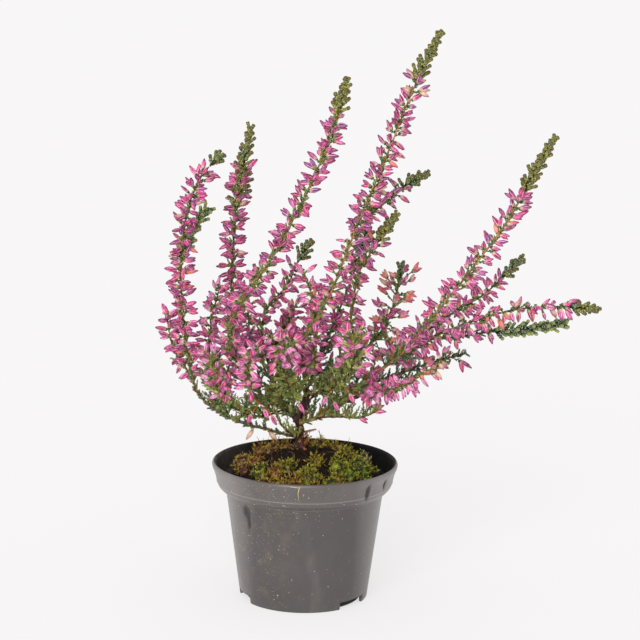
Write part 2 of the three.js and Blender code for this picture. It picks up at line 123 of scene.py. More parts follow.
TRUNK = [(-2, 2.5, 40), (-2, 2.5, 51), (-2, 2.5, 58), (-2, 2, 63), (-3, 1, 68), (-1, 1, 73), (1, 0, 79)]
# The path of each limb, the tone of its bark and the share of its twigs that carry buds.
LIMBS = [
    ([(-3, 1, 69), (-8, -2, 72), (-12, -4, 74.5)], 0.8, 0),
    ([(-3, 1, 66), (4, -2, 69), (9, -5, 73), (17, -9, 80), (25, -12, 88)], 0.05, 1),
]

# Each shoot runs along its path: a bare woody twig, a leafy stretch, a spike of buds that fills
# what is left, and a green growing tip. What a shoot doesn't say is as here.
PLAIN = dict(
    bare=0,  # the length of its bare twig, or 0 where it starts on the surface of another stem
    leafy=0,  # the length of its leafy stretch
    green=0,  # the length of its growing tip
    wood=0.6,  # the tone of its bark, from light orange-brown to dark purple-brown
    dry=0,  # the share of withered buds
    droop=0.1,  # how far its buds hang
    rich=6,  # how many buds a whorl has
    thin=0,  # the share of them that is gone at its end
    core=0,  # how many leafy sprigs a whorl has
    mixed=0,  # the share of its leafy side branches that carry buds
    most=4,  # and how many at most
    flush=88,  # the height above the ground from which they do
    parted=0,  # the share of its buds that are missing in front, so that its stem shows
    forks=(),  # side twigs in buds: where they start on it, and how far off they end
    pendant=(),  # where single fresh buds hang in front of it
    fresh=0.5,  # the tone of its leaves, from dark and bluish to light
    full=1,  # how close its side branches stand
    bushy=1,  # the share of them that branch again
    twig=1,  # how long they are
    rise=0.3,  # how far they turn up
    withered=(),  # where single withered buds hang below it
    late=0,  # how far up its spike the buds start, or its stubby growing twigs
    blush=(0, 0.85),  # the range of its buds' tones, from violet through crimson to pale pink
    faded=0,  # how far withered buds reach down from the end of its spike
    reach=2.5,  # how far its buds stand out on their twigs
    greening=0,  # how far growing twigs reach down into the spike
    stubby=False,  # whether it has only stubby growing twigs
)
FLOWERING_SHOOTS = {
    "outer_left": dict(
        path=[(-2, 2, 60), (-14, -5, 65), (-28, -12, 71), (-39, -17, 81), (-43, -20, 97),
              (-45, -22, 117), (-44, -24, 143), (-39, -26, 160), (-31, -27, 170)],
        bare=9, leafy=52, green=6, wood=0.45, dry=0.05, rich=7.5, mixed=1.2, most=2, fresh=0.15,
        bushy=0.03, full=1.1, twig=0.6, flush=86, blush=(0.05, 0.75), withered=(15.5, 20)),
    "outer_left_side": dict(
        path=[(-41.5, -18.5, 88), (-47, -16, 95), (-50, -14, 103), (-51, -13, 111)],
        wood=0.4, droop=0.2, reach=1),
    "rear_left": dict(
        path=[(-12, -4, 74.5), (-19, -1, 80), (-25, 3, 92), (-28, 6, 108), (-28, 9, 131),
              (-27, 11, 147), (-24, 12, 163), (-22, 12, 176)],
        bare=11, leafy=14, green=16, dry=0.04, droop=0.05, rich=8.5, core=1, mixed=0.6, fresh=0.35,
        greening=15),
    "left_lean": dict(
        path=[(-12, -4, 74.5), (-18, -10, 81), (-25, -18, 94), (-28, -22, 105), (-24, -25, 116),
              (-11, -28, 136), (-3, -30, 152), (3, -31, 165), (10, -33, 185), (13, -34, 197)],
        bare=10, leafy=15, green=13, wood=0.25, droop=0.05, rich=7.8, core=2, mixed=0.8, parted=0.45),
    "left_low": dict(
        path=[(-12, -4, 74.5), (-16, -14, 77), (-20, -24, 84), (-21, -30, 94), (-18, -33, 103)],
        bare=14, wood=0.3, droop=0.2, late=10, mixed=0.1, full=1.8, blush=(0.35, 1.1),
        pendant=(9, 13, 17)),
    "left_middle": dict(
        path=[(-28, -12, 71), (-33, -9, 81), (-36, -6, 94), (-35, -5, 107), (-32, -6, 119)],
        leafy=22, wood=0.5, dry=0.03, mixed=0.9, bushy=0.7, full=1.6, flush=85, blush=(0.3, 1.1)),
    "tallest": dict(
        path=[(-8, -2, 72), (-11, -8, 79), (-11, -15, 88), (-1, -20, 103), (8, -22, 119), (13, -22, 132),
              (19, -21, 148), (28, -19, 170), (34, -18, 186), (41, -16, 203), (46, -15, 213)],
        bare=9, leafy=20, green=20, wood=0.2, dry=0.02, droop=0.05, rich=6.5, mixed=0.8, faded=5,
        parted=0.45),
    "tallest_side": dict(
        path=[(19, -21, 148), (24, -13, 149), (30, -4, 153), (37, 4, 157), (44, 9, 160)],
        green=13, wood=0.7, droop=0.2, rich=3.2, fresh=0.2),
    "centre": dict(
        path=[(0, 0, 76), (-1, -8, 84), (2, -12, 95), (4, -14, 106), (2, -15, 117), (-1, -16, 126)],
        bare=18, wood=0.3, dry=0.02, rich=5.5, mixed=0.3, full=1.8, blush=(0.35, 1.1),
        forks=[(17, (-8, -4, 15))]),
    "middle_left": dict(
        path=[(-3, 1, 69), (-9, 6, 75), (-15, 12, 88), (-17, 15, 101), (-14, 17, 109), (-8, 19, 115),
              (-4, 21, 124), (1, 22, 132)],
        bare=10, leafy=20, green=10, wood=0.7, dry=0.02, droop=0.05, rich=4.5, mixed=0.5, full=1.3,
        fresh=0.25, forks=[(25, (10, -6, 22)), (31, (12, -8, 14))]),
    "middle_right": dict(
        path=[(0, 0, 77), (8, -2, 84), (15, -4, 95), (16, -6, 105), (17, -8, 115), (19, -9, 126),
              (25, -10, 136), (32, -10, 147)],
        bare=10, leafy=22, green=13, wood=0.35, dry=0.03, droop=0.05, mixed=0.35, full=1.3, parted=0.4),
    "back_middle": dict(
        path=[(0, 0, 78), (4, 6, 88), (10, 11, 102), (16, 14, 118), (20, 14, 130), (22, 12, 142)],
        bare=9, leafy=16, green=9, dry=0.03, droop=0.05, rich=4, mixed=0.2, full=1.9, fresh=0.15,
        greening=12),
    "back_right": dict(
        path=[(0, 1, 74), (9, 11, 80), (20, 24, 88), (30, 33, 97), (34, 38, 108), (37, 41, 120)],
        bare=10, leafy=24, green=5, dry=0.38, rich=10, reach=7.5, core=3, mixed=0.9, fresh=0.05,
        blush=(0, 0.9)),
    "back_left": dict(
        path=[(-3, 2, 65), (-8, 11, 71), (-16, 22, 82), (-22, 29, 95), (-23, 33, 107), (-20, 35, 119)],
        bare=10, leafy=24, green=8, dry=0.03, rich=5, mixed=0.4, fresh=0.25, bushy=0.5, full=0.75),
    "back_low": dict(
        path=[(-2, 1, 70), (0, 10, 76), (-1, 21, 83), (0, 31, 92), (3, 37, 102), (5, 40, 113)],
        bare=9, leafy=18, dry=0.03, rich=5, mixed=0.4, fresh=0.25, bushy=0.8, full=0.7),
    "right_high": dict(
        path=[(25, -12, 88), (35, -16, 97), (42, -19, 107), (51, -22, 119), (61, -25, 133),
              (72, -28, 150), (79, -30, 165), (86, -32, 178)],
        bare=18, green=23, wood=0.2, dry=0.03, droop=0.05, rich=7, mixed=1, full=1.6, bushy=0.4,
        parted=0.45),
    "right_flat": dict(
        path=[(25, -12, 88), (34, -10, 94), (45, -9, 101), (59, -8, 107), (77, -6, 112),
              (92, -5, 113), (107, -4, 112)],
        bare=13, green=11, wood=0.7, dry=0.04, droop=0.45, rich=6.5, thin=0.3, mixed=1, full=1.5,
        bushy=0.4, blush=(0.1, 0.9)),
    "right_middle": dict(
        path=[(25, -12, 88), (31, -3, 91), (41, 6, 98), (50, 11, 104), (57, 14, 108), (66, 16, 113),
              (75, 18, 121), (81, 19, 127)],
        bare=12, leafy=34, green=11, wood=0.7, dry=0.03, mixed=0.4, fresh=0.25, bushy=0.3),
    "right_low": dict(
        path=[(17, -9, 80), (25, -16, 82), (34, -22, 86), (42, -25, 91), (49, -27, 97)],
        bare=8, wood=0.3, droop=0.6, rich=11, thin=0.9, mixed=0.8, full=1.6, bushy=0.5,
        blush=(0.2, 1.1), flush=0, dry=0.08, faded=5),
}

# Shoots without a spike, leafy from their woody twig to their end.
LEAFY_SHOOTS = {
    "outer_left_green": dict(
        path=[(-44.5, -23, 131), (-44, -16, 136), (-41, -12, 142), (-37, -11, 148)], fresh=0.15,
        stubby=True),
    "right_flat_green": dict(
        path=[(45, -9, 101), (55, 0, 100), (68, 6, 101), (84, 9, 102), (97, 10, 104)],
        stubby=True, late=28, fresh=0.1, mixed=1, droop=0.6, bushy=0.2, full=0.8),
    "right_rear_green": dict(
        path=[(17, -9, 80), (27, 0, 83), (38, 9, 85), (50, 15, 88), (61, 19, 90)], bare=9, fresh=0.05,
        bushy=0.1, twig=0.8, mixed=0.8, dry=0.3, droop=0.4, flush=84),
    "low_right_rear": dict(
        path=[(9, -5, 73), (18, 4, 75), (30, 13, 78), (43, 20, 81), (55, 24, 85)], bare=9, fresh=0.15,
        bushy=0.15, rise=0.6),
    "low_right_front": dict(
        path=[(4, -2, 69), (12, -8, 71), (20, -13, 72), (27, -17, 76)], bare=7, fresh=0.6, full=1.8,
        bushy=0.5, twig=0.75, rise=1, mixed=0.4, droop=0.6, blush=(0.3, 1.1), flush=72),
    "front_left_green": dict(
        path=[(0, 0, 76), (-5, -9, 80), (-6, -20, 85), (-8, -28, 93), (-8, -33, 101)], bare=9,
        rich=5, fresh=0.6, mixed=1, most=3, droop=0.5, full=2.2, blush=(0.35, 1.1), flush=90, pendant=(12,),
        forks=[(33, (-5, -3, 14)), (38, (4, 0, 11))]),
    "front_right_green": dict(
        path=[(0, 0, 77), (8, -8, 81), (14, -17, 87), (17, -24, 95), (17, -28, 105)], bare=9,
        fresh=0.6, mixed=0.9, most=3, droop=0.5, full=2.1, blush=(0.35, 1.1), flush=91, pendant=(11, 17, 22)),
    "left_green": dict(
        path=[(-8, -2, 72), (-17, -9, 71), (-26, -17, 76), (-32, -23, 85), (-34, -26, 96)], bare=9,
        rich=5, fresh=0.6, mixed=1, most=3, droop=0.5, full=1.9, rise=0.6, blush=(0.35, 1.1), flush=86,
        forks=[(30, (-3, -4, 16)), (36, (5, 0, 12))]),
    "trunk_sprig": dict(
        path=[(-2, 2, 60), (-6, -6, 64), (-10, -13, 71), (-12, -17, 79)], bare=6, fresh=0.85,
        bushy=0.6, twig=0.55, full=1.3, rise=0.8),
}

SHOOTS = {name: dict(PLAIN, **shoot) for name, shoot in FLOWERING_SHOOTS.items()}
SHOOTS |= {name: dict(PLAIN, leafy=math.inf, **shoot) for name, shoot in LEAFY_SHOOTS.items()}

# The clumps of each moss cushion: where they lie, their reach, their height and their tone, from
# brown over orange and yellow to fresh green at 0.8 and pale lichen at 1.
MOSS_CUSHIONS = {
    "moss_front": [
        (-16, -14, 3, 3.5, 0.65), (-10.5, -16, 3, 3, 0.25), (-6, -15.5, 3, 3.5, 0.55),
        (-4, -22, 4, 2.5, 0.25), (1.6, -20.5, 4, 4, 0.6), (9.7, -22, 2, 3, 0.75), (3.7, -12, 2.5, 3, 0.45),
        (-15, -20, 3.5, 2, 0.15), (-9, -22.5, 3, 2.5, 0.4), (3, -24.5, 3, 2.5, 0.3)],
    "moss_right": [
        (12.3, -12.8, 3.5, 5, 0.65), (20, -8, 4, 5.5, 0.8), (16, -14, 3, 4, 0.75), (24.5, 1, 2, 2.5, 0.7),
        (12, -19, 2.5, 3, 0.5), (22, -13, 2.5, 3, 0.7)],
    "moss_back": [
        (6, 7, 3, 4, 0.4), (12, 9, 3, 3.5, 0.35), (14, 3, 3, 3, 0.5), (22.5, 12, 2.2, 4.5, 1),
        (17, 9, 2.5, 3, 0.5), (0, 15, 3.5, 3, 0.3), (7, 20, 4, 2.5, 0.5), (-4, 23, 3, 2.5, 0.4)],
    "moss_left": [
        (-23, 3, 4, 3.5, 0.05), (-17, 10, 3.5, 4.5, 0.2), (-12, 3, 3.5, 3, 0.1), (-22, -5, 3, 2.5, 0.05),
        (-18, -3, 2.5, 2.5, 0.2), (-8, 6, 2.5, 3, 0.3), (-12, 16, 3.5, 3, 0.3)],
}


# ---------------------------------------------------------------- curves and frames

def seeded(name):
    """A source of random numbers that is the same in each run."""
    return np.random.default_rng(zlib.crc32(name.encode()))


def unit(vectors):
    return vectors / np.linalg.norm(vectors, axis=-1, keepdims=True)


def catmull_rom(knots, samples=24):
    """Points on one centripetal Catmull-Rom span, between the middle two of four knots."""
    gaps = np.sqrt(np.linalg.norm(np.diff(knots, axis=0), axis=1))[:, None]
    steps = np.diff(knots, axis=0) / gaps
    leave = steps[0] - (knots[2] - knots[0]) / (gaps[0] + gaps[1]) + steps[1]
    arrive = steps[1] - (knots[3] - knots[1]) / (gaps[1] + gaps[2]) + steps[2]
    leave, arrive = leave * gaps[1], arrive * gaps[1]
    t = np.linspace(0, 1, samples, endpoint=False)[:, None]
    square = 3 * (knots[2] - knots[1]) - 2 * leave - arrive
    cube = 2 * (knots[1] - knots[2]) + leave + arrive
    return knots[1] + leave * t + square * t**2 + cube * t**3


def even_turns(count):
    """Turns evenly spaced round a circle."""
    return np.linspace(0, 2 * math.pi, count, endpoint=False)


def level_way(turn):
    """Level directions at some turns, or at one."""
    return np.stack([np.cos(turn), np.sin(turn), np.zeros_like(turn)], axis=-1)


def spiral(n, rng):
    """The turn of the nth of some twigs round their stem."""
    return n * GOLDEN_ANGLE + rng.uniform(-0.4, 0.4)


def spread(start, end, spacing, least):
    """The numbers of twigs about a spacing apart between two distances, their shares and distances."""
    count = max(least, int((end - start) / spacing))
    for n in range(count):
        share = (n + 0.5) / count
        yield n, share, start + (end - start) * share


class Curve:
    """A smooth curve through a path, read by the distance along it."""

    def __init__(self, path):
        knots = np.array(path, float)
        knots = np.vstack([2 * knots[0] - knots[1], knots, 2 * knots[-1] - knots[-2]])
        spans = [catmull_rom(knots[i:i + 4]) for i in range(len(knots) - 3)]
        self.points = np.vstack([*spans, knots[-2]])
        steps = np.linalg.norm(np.diff(self.points, axis=0), axis=1)
        self.distances = np.concatenate([[0], np.cumsum(steps)])
        self.length = self.distances[-1]

    def at(self, distance):
        columns = [np.interp(distance, self.distances, column) for column in self.points.T]
        return np.stack(columns, axis=-1)

    def heading(self, distance):
        ahead, behind = min(distance + 0.5, self.length), max(distance - 0.5, 0)
        return unit(self.at(ahead) - self.at(behind))


def sideways(direction):
    """A level direction square to another."""
    side = np.cross(UP, direction)
    return unit(side) if np.linalg.norm(side) > 0.1 else np.array([1.0, 0, 0])


def leaning(direction, turn, lean):
    """A direction that leans off another one by an angle, towards a turn round it."""
    side = sideways(direction)
    other = np.cross(direction, side)
    outward = side * math.cos(turn) + other * math.sin(turn)
    return unit(direction * math.cos(lean) + outward * math.sin(lean))


def frames_along(points):
    """Two directions across a line at each of its points, turned as little as can be."""
    tangents = unit(np.gradient(points, axis=0))
    side = sideways(tangents[0])
    sides = []
    for tangent in tangents:
        side = unit(side - tangent * (side @ tangent))
        sides.append(side)
    sides = np.array(sides)
    return sides, np.cross(tangents, sides)


def standing(directions, rolls, widths, lengths):
    """Matrices that stand a form along each direction, rolled about it, at each width and length."""
    z = unit(np.asarray(directions, float))
    x = np.stack([-z[:, 1], z[:, 0], np.zeros(len(z))], axis=1)
    x[np.linalg.norm(x, axis=1) < 0.1] = (1, 0, 0)
    x = unit(x - z * np.sum(x * z, axis=1, keepdims=True))
    y = np.cross(z, x)
    cosine, sine = np.cos(rolls)[:, None], np.sin(rolls)[:, None]
    x, y = x * cosine + y * sine, y * cosine - x * sine
    widths, lengths = np.asarray(widths)[:, None], np.asarray(lengths)[:, None]
    return np.stack([x * widths, y * widths, z * lengths], axis=2)


# ---------------------------------------------------------------- meshes

MARKS = ("along", "shade", "edge")  # what materials read at each point, from 0 to 1


def grid_faces(rows, columns):
    """Triangles over a grid of points, row by row, whose last column joins its first."""
    row, column = np.meshgrid(np.arange(rows - 1), np.arange(columns), indexing="ij")
    a = (row * columns + column).ravel()
    b = (row * columns + (column + 1) % columns).ravel()
    return np.vstack([np.stack([a, b, b + columns], axis=1), np.stack([a, b + columns, a + columns], axis=1)])


def turned(profile, turns):
    """Points of a lathe about the axis, row by row from a profile of radii and heights."""
    radius, height = np.array(profile, float).T
    heights = np.repeat(height[:, None], len(turns), axis=1)
    return np.stack([radius[:, None] * np.cos(turns), radius[:, None] * np.sin(turns), heights], axis=2)


def per_row(values, rows):
    """Values for a grid of points: one for all of it, one for each row or one for each point."""
    values = np.asarray(values, float)
    return values if values.ndim == 2 else np.broadcast_to(values, rows)[:, None]


def linked(name, data):
    """A new object in the scene."""
    thing = bpy.data.objects.new(name, data)
    bpy.context.scene.collection.objects.link(thing)
    return thing


def plain_object(name, points, faces):
    """An object without marks, from points in metres."""
    mesh = bpy.data.meshes.new(name)
    mesh.from_pydata(points, [], faces)
    return linked(name, mesh)


class Shape:
    """A mesh in the making: points, triangles, the material slot of each and the marks of each point."""

    def __init__(self):
        self.points, self.faces, self.slots, self.count = [], [], [], 0
        self.marks = {name: [] for name in MARKS}

    def add(self, points, faces, slot=0, **marks):
        self.points.append(points)
        self.faces.append(np.asarray(faces) + self.count)
        self.slots.append(np.broadcast_to(slot, len(faces)))
        for name in MARKS:
            self.marks[name].append(np.broadcast_to(marks.get(name, 0.5), len(points)))
        self.count += len(points)

    def loft(self, rings, slot=0, ends=None, **marks):
        """A closed surface over rings of points, with a fan at each end. A slot may differ by band."""
        rows, columns = rings.shape[:2]
        first, last = ends or (rings[0].mean(axis=0), rings[-1].mean(axis=0))
        ring = np.arange(columns)
        following = (ring + 1) % columns
        top = (rows - 1) * columns
        low_fan = np.stack([following, ring, np.full(columns, rows * columns)], axis=1)
        high_fan = np.stack([top + ring, top + following, np.full(columns, rows * columns + 1)], axis=1)
        bands = np.broadcast_to(slot, rows - 1) if rows > 1 else np.full(1, slot)
        slots = [np.tile(np.repeat(bands[:rows - 1], columns), 2), np.repeat(bands[[0, -1]], columns)]
        spread = {}
        for name, value in marks.items():
            value = np.broadcast_to(value, (rows, columns))
            spread[name] = np.concatenate([value.ravel(), [value[0].mean(), value[-1].mean()]])
        self.add(np.vstack([rings.reshape(-1, 3), first, last]),
                 np.vstack([grid_faces(rows, columns), low_fan, high_fan]), np.concatenate(slots), **spread)

    def joined(self):
        marks = {name: np.concatenate(self.marks[name]) for name in MARKS}
        return np.vstack(self.points), np.vstack(self.faces), np.concatenate(self.slots), marks

    def stamp(self, form, origins, matrices, slots=None, **marks):
        """Copies of a form, each by its own matrix at its own origin. Given marks replace the form's."""
        points, faces, own_slots, own_marks = form.joined()
        placed = np.einsum("nij,pj->npi", matrices, points) + np.asarray(origins)[:, None]
        shifted = faces + (np.arange(len(placed)) * len(points))[:, None, None]
        slots = own_slots[None] if slots is None else slots[:, None]
        spread = {}
        for name in MARKS:
            values = marks[name][:, None] if name in marks else own_marks[name]
            spread[name] = np.broadcast_to(values, placed.shape[:2]).ravel()
        self.add(placed.reshape(-1, 3), shifted.reshape(-1, 3),
                 np.broadcast_to(slots, shifted.shape[:2]).ravel(), **spread)

    def tube(self, points, radii, sides, slot=0, shade=0.5, edge=0.5):
        """A round stem along a line of points, closed at both ends."""
        points = np.asarray(points, float)
        x, y = frames_along(points)
        turns = even_turns(sides)[:, None]
        across = x[:, None] * np.cos(turns) + y[:, None] * np.sin(turns)
        rings = points[:, None] + across * per_row(radii, len(points))[..., None]
        along = np.linspace(0, 1, len(points))[:, None]
        self.loft(rings, slot, along=along, shade=per_row(shade, len(points)), edge=edge)

    def mesh(self, name, materials, smooth=True):
        """An object of the finished mesh, with only the materials that it uses."""
        points, faces, slots, marks = self.joined()
        used, slots = np.unique(slots, return_inverse=True)
        mesh = bpy.data.meshes.new(name)
        mesh.vertices.add(len(points))
        mesh.vertices.foreach_set("co", (points * MM + AXIS).astype(np.float32).ravel())
        mesh.loops.add(faces.size)
        mesh.loops.foreach_set("vertex_index", faces.astype(np.int32).ravel())
        mesh.polygons.add(len(faces))
        mesh.polygons.foreach_set("loop_start", np.arange(0, faces.size, 3, dtype=np.int32))
        for index in used:
            mesh.materials.append(materials[index])
        mesh.polygons.foreach_set("material_index", slots.astype(np.int32))
        mesh.polygons.foreach_set("use_smooth", np.full(len(faces), smooth))
        for mark, values in marks.items():
            mesh.attributes.new(mark, "FLOAT", "POINT").data.foreach_set("value", values.astype(np.float32))
        mesh.update(calc_edges=True)
        return linked(name, mesh)

    def build(self, name, materials, body_slot, replaces=(), smooth=True):
        """The finished piece, riding on the CAD's body in place of the nodes that it replaces."""
        piece = self.mesh(name, materials, smooth)
        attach(piece, "root")
        if replaces:
            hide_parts(*replaces)
        return piece


class Placements:
    """Where the copies of some forms go, gathered one by one and stamped in one go."""

    def __init__(self, forms, rng, slot=0):
        self.forms, self.rng, self.slot, self.rows = forms, rng, slot, []

    def put(self, origin, direction, roll, width, length, shade, slot=None, form=None):
        """One more copy, of a form by its number or of any. A measure is given or drawn from a range."""
        measures = [self.rng.uniform(*measure) if isinstance(measure, tuple) else measure
                    for measure in (roll, width, length, shade)]
        form = self.rng.integers(len(self.forms)) if form is None else form
        slot = self.slot if slot is None else slot
        self.rows.append((form, slot, *origin, *direction, *measures))

    def stamp(self, shape):
        for n, form in enumerate(self.forms):
            rows = np.array([row for row in self.rows if row[0] == n])
            if len(rows):
                matrices = standing(rows[:, 5:8], rows[:, 8], rows[:, 9], rows[:, 10])
                shape.stamp(form, rows[:, 2:5], matrices, rows[:, 1].astype(int), shade=rows[:, 11])


# ---------------------------------------------------------------- materials

def srgb(red, green, blue):
    """A colour as it is seen, from 0 to 255, as linear light."""
    channels = [value / 255 for value in (red, green, blue)]
    return (*[c / 12.92 if c <= 0.04045 else ((c + 0.055) / 1.055) ** 2.4 for c in channels], 1)


class Look:
    """A material with a Principled shader, and short calls for the nodes that drive it."""

    def __init__(self, name, roughness=0.5, specular=0.5, **sockets):
        self.material = bpy.data.materials.new(name)
        self.material.use_nodes = True
        self.tree = self.material.node_tree
        self.shader = self.tree.nodes["Principled BSDF"]
        for socket, value in dict(sockets, Roughness=roughness, Specular_IOR_Level=specular).items():
            self.shader.inputs[socket.replace("_", " ")].default_value = value

    def node(self, kind, inputs=(), **settings):
        """A new node. An input is a plain value or another node's output."""
        node = self.tree.nodes.new("ShaderNode" + kind)
        for name, value in settings.items():
            setattr(node, name, value)
        for socket, value in dict(inputs).items():
            if isinstance(value, bpy.types.NodeSocket):
                self.tree.links.new(value, node.inputs[socket])
            else:
                node.inputs[socket].default_value = value
        return node

    def mark(self, name):
        return self.node("Attribute", attribute_name=name).outputs["Fac"]

    def place(self, scale=(1, 1, 1)):
        """Where a point is, in metres, stretched by a scale."""
        where = self.node("TexCoord").outputs["Object"]
        return self.node("Mapping", {"Vector": where, "Scale": scale}).outputs["Vector"]

    def axes(self):
        return self.node("SeparateXYZ", {"Vector": self.place()}).outputs

    def noise(self, scale, detail=3, roughness=0.5, place=None):
        vector = place or self.place()
        inputs = {"Vector": vector, "Scale": scale, "Detail": detail, "Roughness": roughness}
        return self.node("TexNoise", inputs).outputs["Fac"]

    def maths(self, operation, a, b=0, c=0):
        return self.node("Math", {0: a, 1: b, 2: c}, operation=operation).outputs[0]

    def ramp(self, value, *stops):
        """Colours as they are seen, or shares of grey, over a value from 0 to 1."""
        node = self.node("ValToRGB", {"Fac": value})
        elements = node.color_ramp.elements
        while len(elements) < len(stops):
            elements.new(0.5)
        for element, (position, colour) in zip(elements, stops):
            element.position = position
            element.color = srgb(*colour) if isinstance(colour, tuple) else (colour, colour, colour, 1)
        return node.outputs["Color"]

    def mix(self, factor, below, above, blend="MIX"):
        """A colour as it is seen, or another node's, laid over one by a factor."""
        above = srgb(*above) if isinstance(above, tuple) else above
        inputs = {0: factor, 6: below, 7: above}
        return self.node("Mix", inputs, data_type="RGBA", blend_type=blend).outputs[2]

    def paint(self, colour, *layers):
        """A colour under others, each laid over by the ramp of a value, and blended in its own way."""
        for value, shares, above, *blend in layers:
            colour = self.mix(self.ramp(value, *shares), colour, above, *blend)
        return colour

    def drive(self, **sockets):
        """Links outputs to the shader's sockets."""
        for socket, output in sockets.items():
            self.tree.links.new(output, self.shader.inputs[socket.replace("_", " ")])

    def finished(self, colour, height, strength, distance):
        """The material in its colour, with a bump by a height in its surface."""
        inputs = {"Height": height, "Strength": strength, "Distance": distance}
        self.drive(Base_Color=colour, Normal=self.node("Bump", inputs).outputs["Normal"])
        return self.material


def bud_look():
    """Closed sepals from violet over crimson to pale pink, with a pale base and pale margins, painted shade
    in the creases between the sepals and a painted highlight along their keels.
    """
    look = Look("sepal", 0.32, 0.55)
    along, shade, edge = map(look.mark, MARKS)
    tone = look.ramp(shade, (0, (140, 50, 144)), (0.2, (196, 56, 146)), (0.4, (152, 8, 64)),
                     (0.6, (244, 48, 144)), (0.8, (255, 118, 190)), (1, (255, 200, 242)))
    streaks = look.noise(1500, 3, 0.6)
    colour = look.paint(
        tone,
        (streaks, [(0.4, 0.7), (0.56, 0)], (180, 76, 136), "MULTIPLY"),
        (edge, [(0, 1), (0.38, 0)], (120, 20, 60), "MULTIPLY"),  # painted shade in the creases between the sepals
        (edge, [(0.4, 0), (0.6, 0.45), (0.72, 0)], (255, 164, 228)),  # a painted highlight along their keels
        (edge, [(0.78, 0), (1, 0.9)], (255, 200, 234)),  # their margins
        (along, [(0.04, 0.9), (0.34, 0)], (244, 214, 176)),  # the bud's base
        (along, [(0.62, 0), (0.95, 0.95)], (92, 14, 50)))  # and its point
    return look.finished(colour, streaks, 0.2, 0.00008)


def dry_bud_look():
    """Withered buds: peach and straw, or salmon, browner at the tip."""
    look = Look("dry_sepal", 0.6)
    along, shade = look.mark("along"), look.mark("shade")
    peach = look.ramp(along, (0, (196, 156, 110)), (0.4, (244, 210, 186)), (1, (176, 120, 112)))
    salmon = look.ramp(along, (0, (224, 160, 96)), (0.4, (255, 150, 132)), (1, (190, 70, 124)))
    spots = look.noise(1800, 3)
    colour = look.paint(
        peach,
        (shade, [(0.3, 0), (0.5, 1)], salmon),
        (spots, [(0, 0), (1, 0.3)], (170, 110, 86), "MULTIPLY"))
    return look.finished(colour, spots, 0.3, 0.0001)


def leaf_look(name, tones, ends):
    """Scale leaves: painted shade at their feet down in the twig, a painted highlight at their points,
    another colour at the twigs' ends.
    """
    look = Look(name, 0.5, 0.35)
    along, shade, edge = map(look.mark, MARKS)
    mottle = look.noise(1500, 3)
    colour = look.paint(
        look.ramp(shade, *zip((0, 0.25, 0.5, 1), tones)),
        # painted shade at the leaves' feet, down in the twig
        (edge, [(0.1, 0.9), (0.45, 0)], (70, 66, 36), "MULTIPLY"),
        # a painted highlight at the leaves' points
        (edge, [(0.5, 0), (1, 0.8)], (206, 214, 150)),
        (along, [(0.7, 0), (0.95, 0.8)], ends),
        (mottle, [(0, 0), (1, 0.7)], (150, 150, 110), "MULTIPLY"))
    return look.finished(colour, mottle, 0.3, 0.0001)


def bark_look():
    """Bark, from the light orange-brown of young stems to dark purple-brown."""
    look = Look("bark", 0.75, 0.3)
    tone = look.ramp(look.mark("shade"), (0, (226, 164, 104)), (0.3, (176, 118, 72)), (0.6, (110, 66, 50)),
                     (1, (64, 40, 50)))
    streaks = look.noise(900, 4, 0.65, look.place((1, 1, 0.25)))
    colour = look.paint(tone, (streaks, [(0.35, 0.75), (0.65, 0)], (60, 40, 32), "MULTIPLY"))
    return look.finished(colour, streaks, 0.6, 0.0003)


def moss_look():
    """Moss leaves from dry orange-brown to fresh green, with painted shade down in the moss and a painted
    highlight at their points.
    """
    look = Look("moss", 0.6, 0.3)
    along, shade = look.mark("along"), look.mark("shade")
    tone = look.ramp(shade, (0, (184, 132, 104)), (0.2, (222, 146, 72)), (0.4, (236, 202, 76)),
                     (0.6, (208, 208, 62)), (0.8, (158, 194, 50)), (0.86, (236, 224, 180)))
    mottle = look.noise(700, 3)
    colour = look.paint(
        tone,
        # painted shade down in the moss
        (along, [(0.45, 0.95), (0.78, 0)], (38, 31, 18)),
        # a painted highlight at the leaves' points
        (along, [(0.7, 0), (1, 0.65)], (244, 234, 100)),
        (mottle, [(0.4, 0.8), (0.6, 0)], (120, 104, 60), "MULTIPLY"))
    return look.finished(colour, mottle, 0.3, 0.0002)


def soil_look():
    """Damp peat: nearly black brown, with lighter crumbs."""
    look = Look("peat", 0.95, 0.2)
    tone = look.ramp(look.mark("shade"), (0, (24, 17, 14)), (0.6, (58, 42, 32)), (0.9, (96, 72, 52)),
                     (1, (150, 120, 90)))
    grain = look.noise(1400, 5, 0.7)
    colour = look.paint(tone, (grain, [(0.3, 0.8), (0.7, 0)], (60, 46, 38), "MULTIPLY"))
    return look.finished(colour, grain, 0.8, 0.0006)


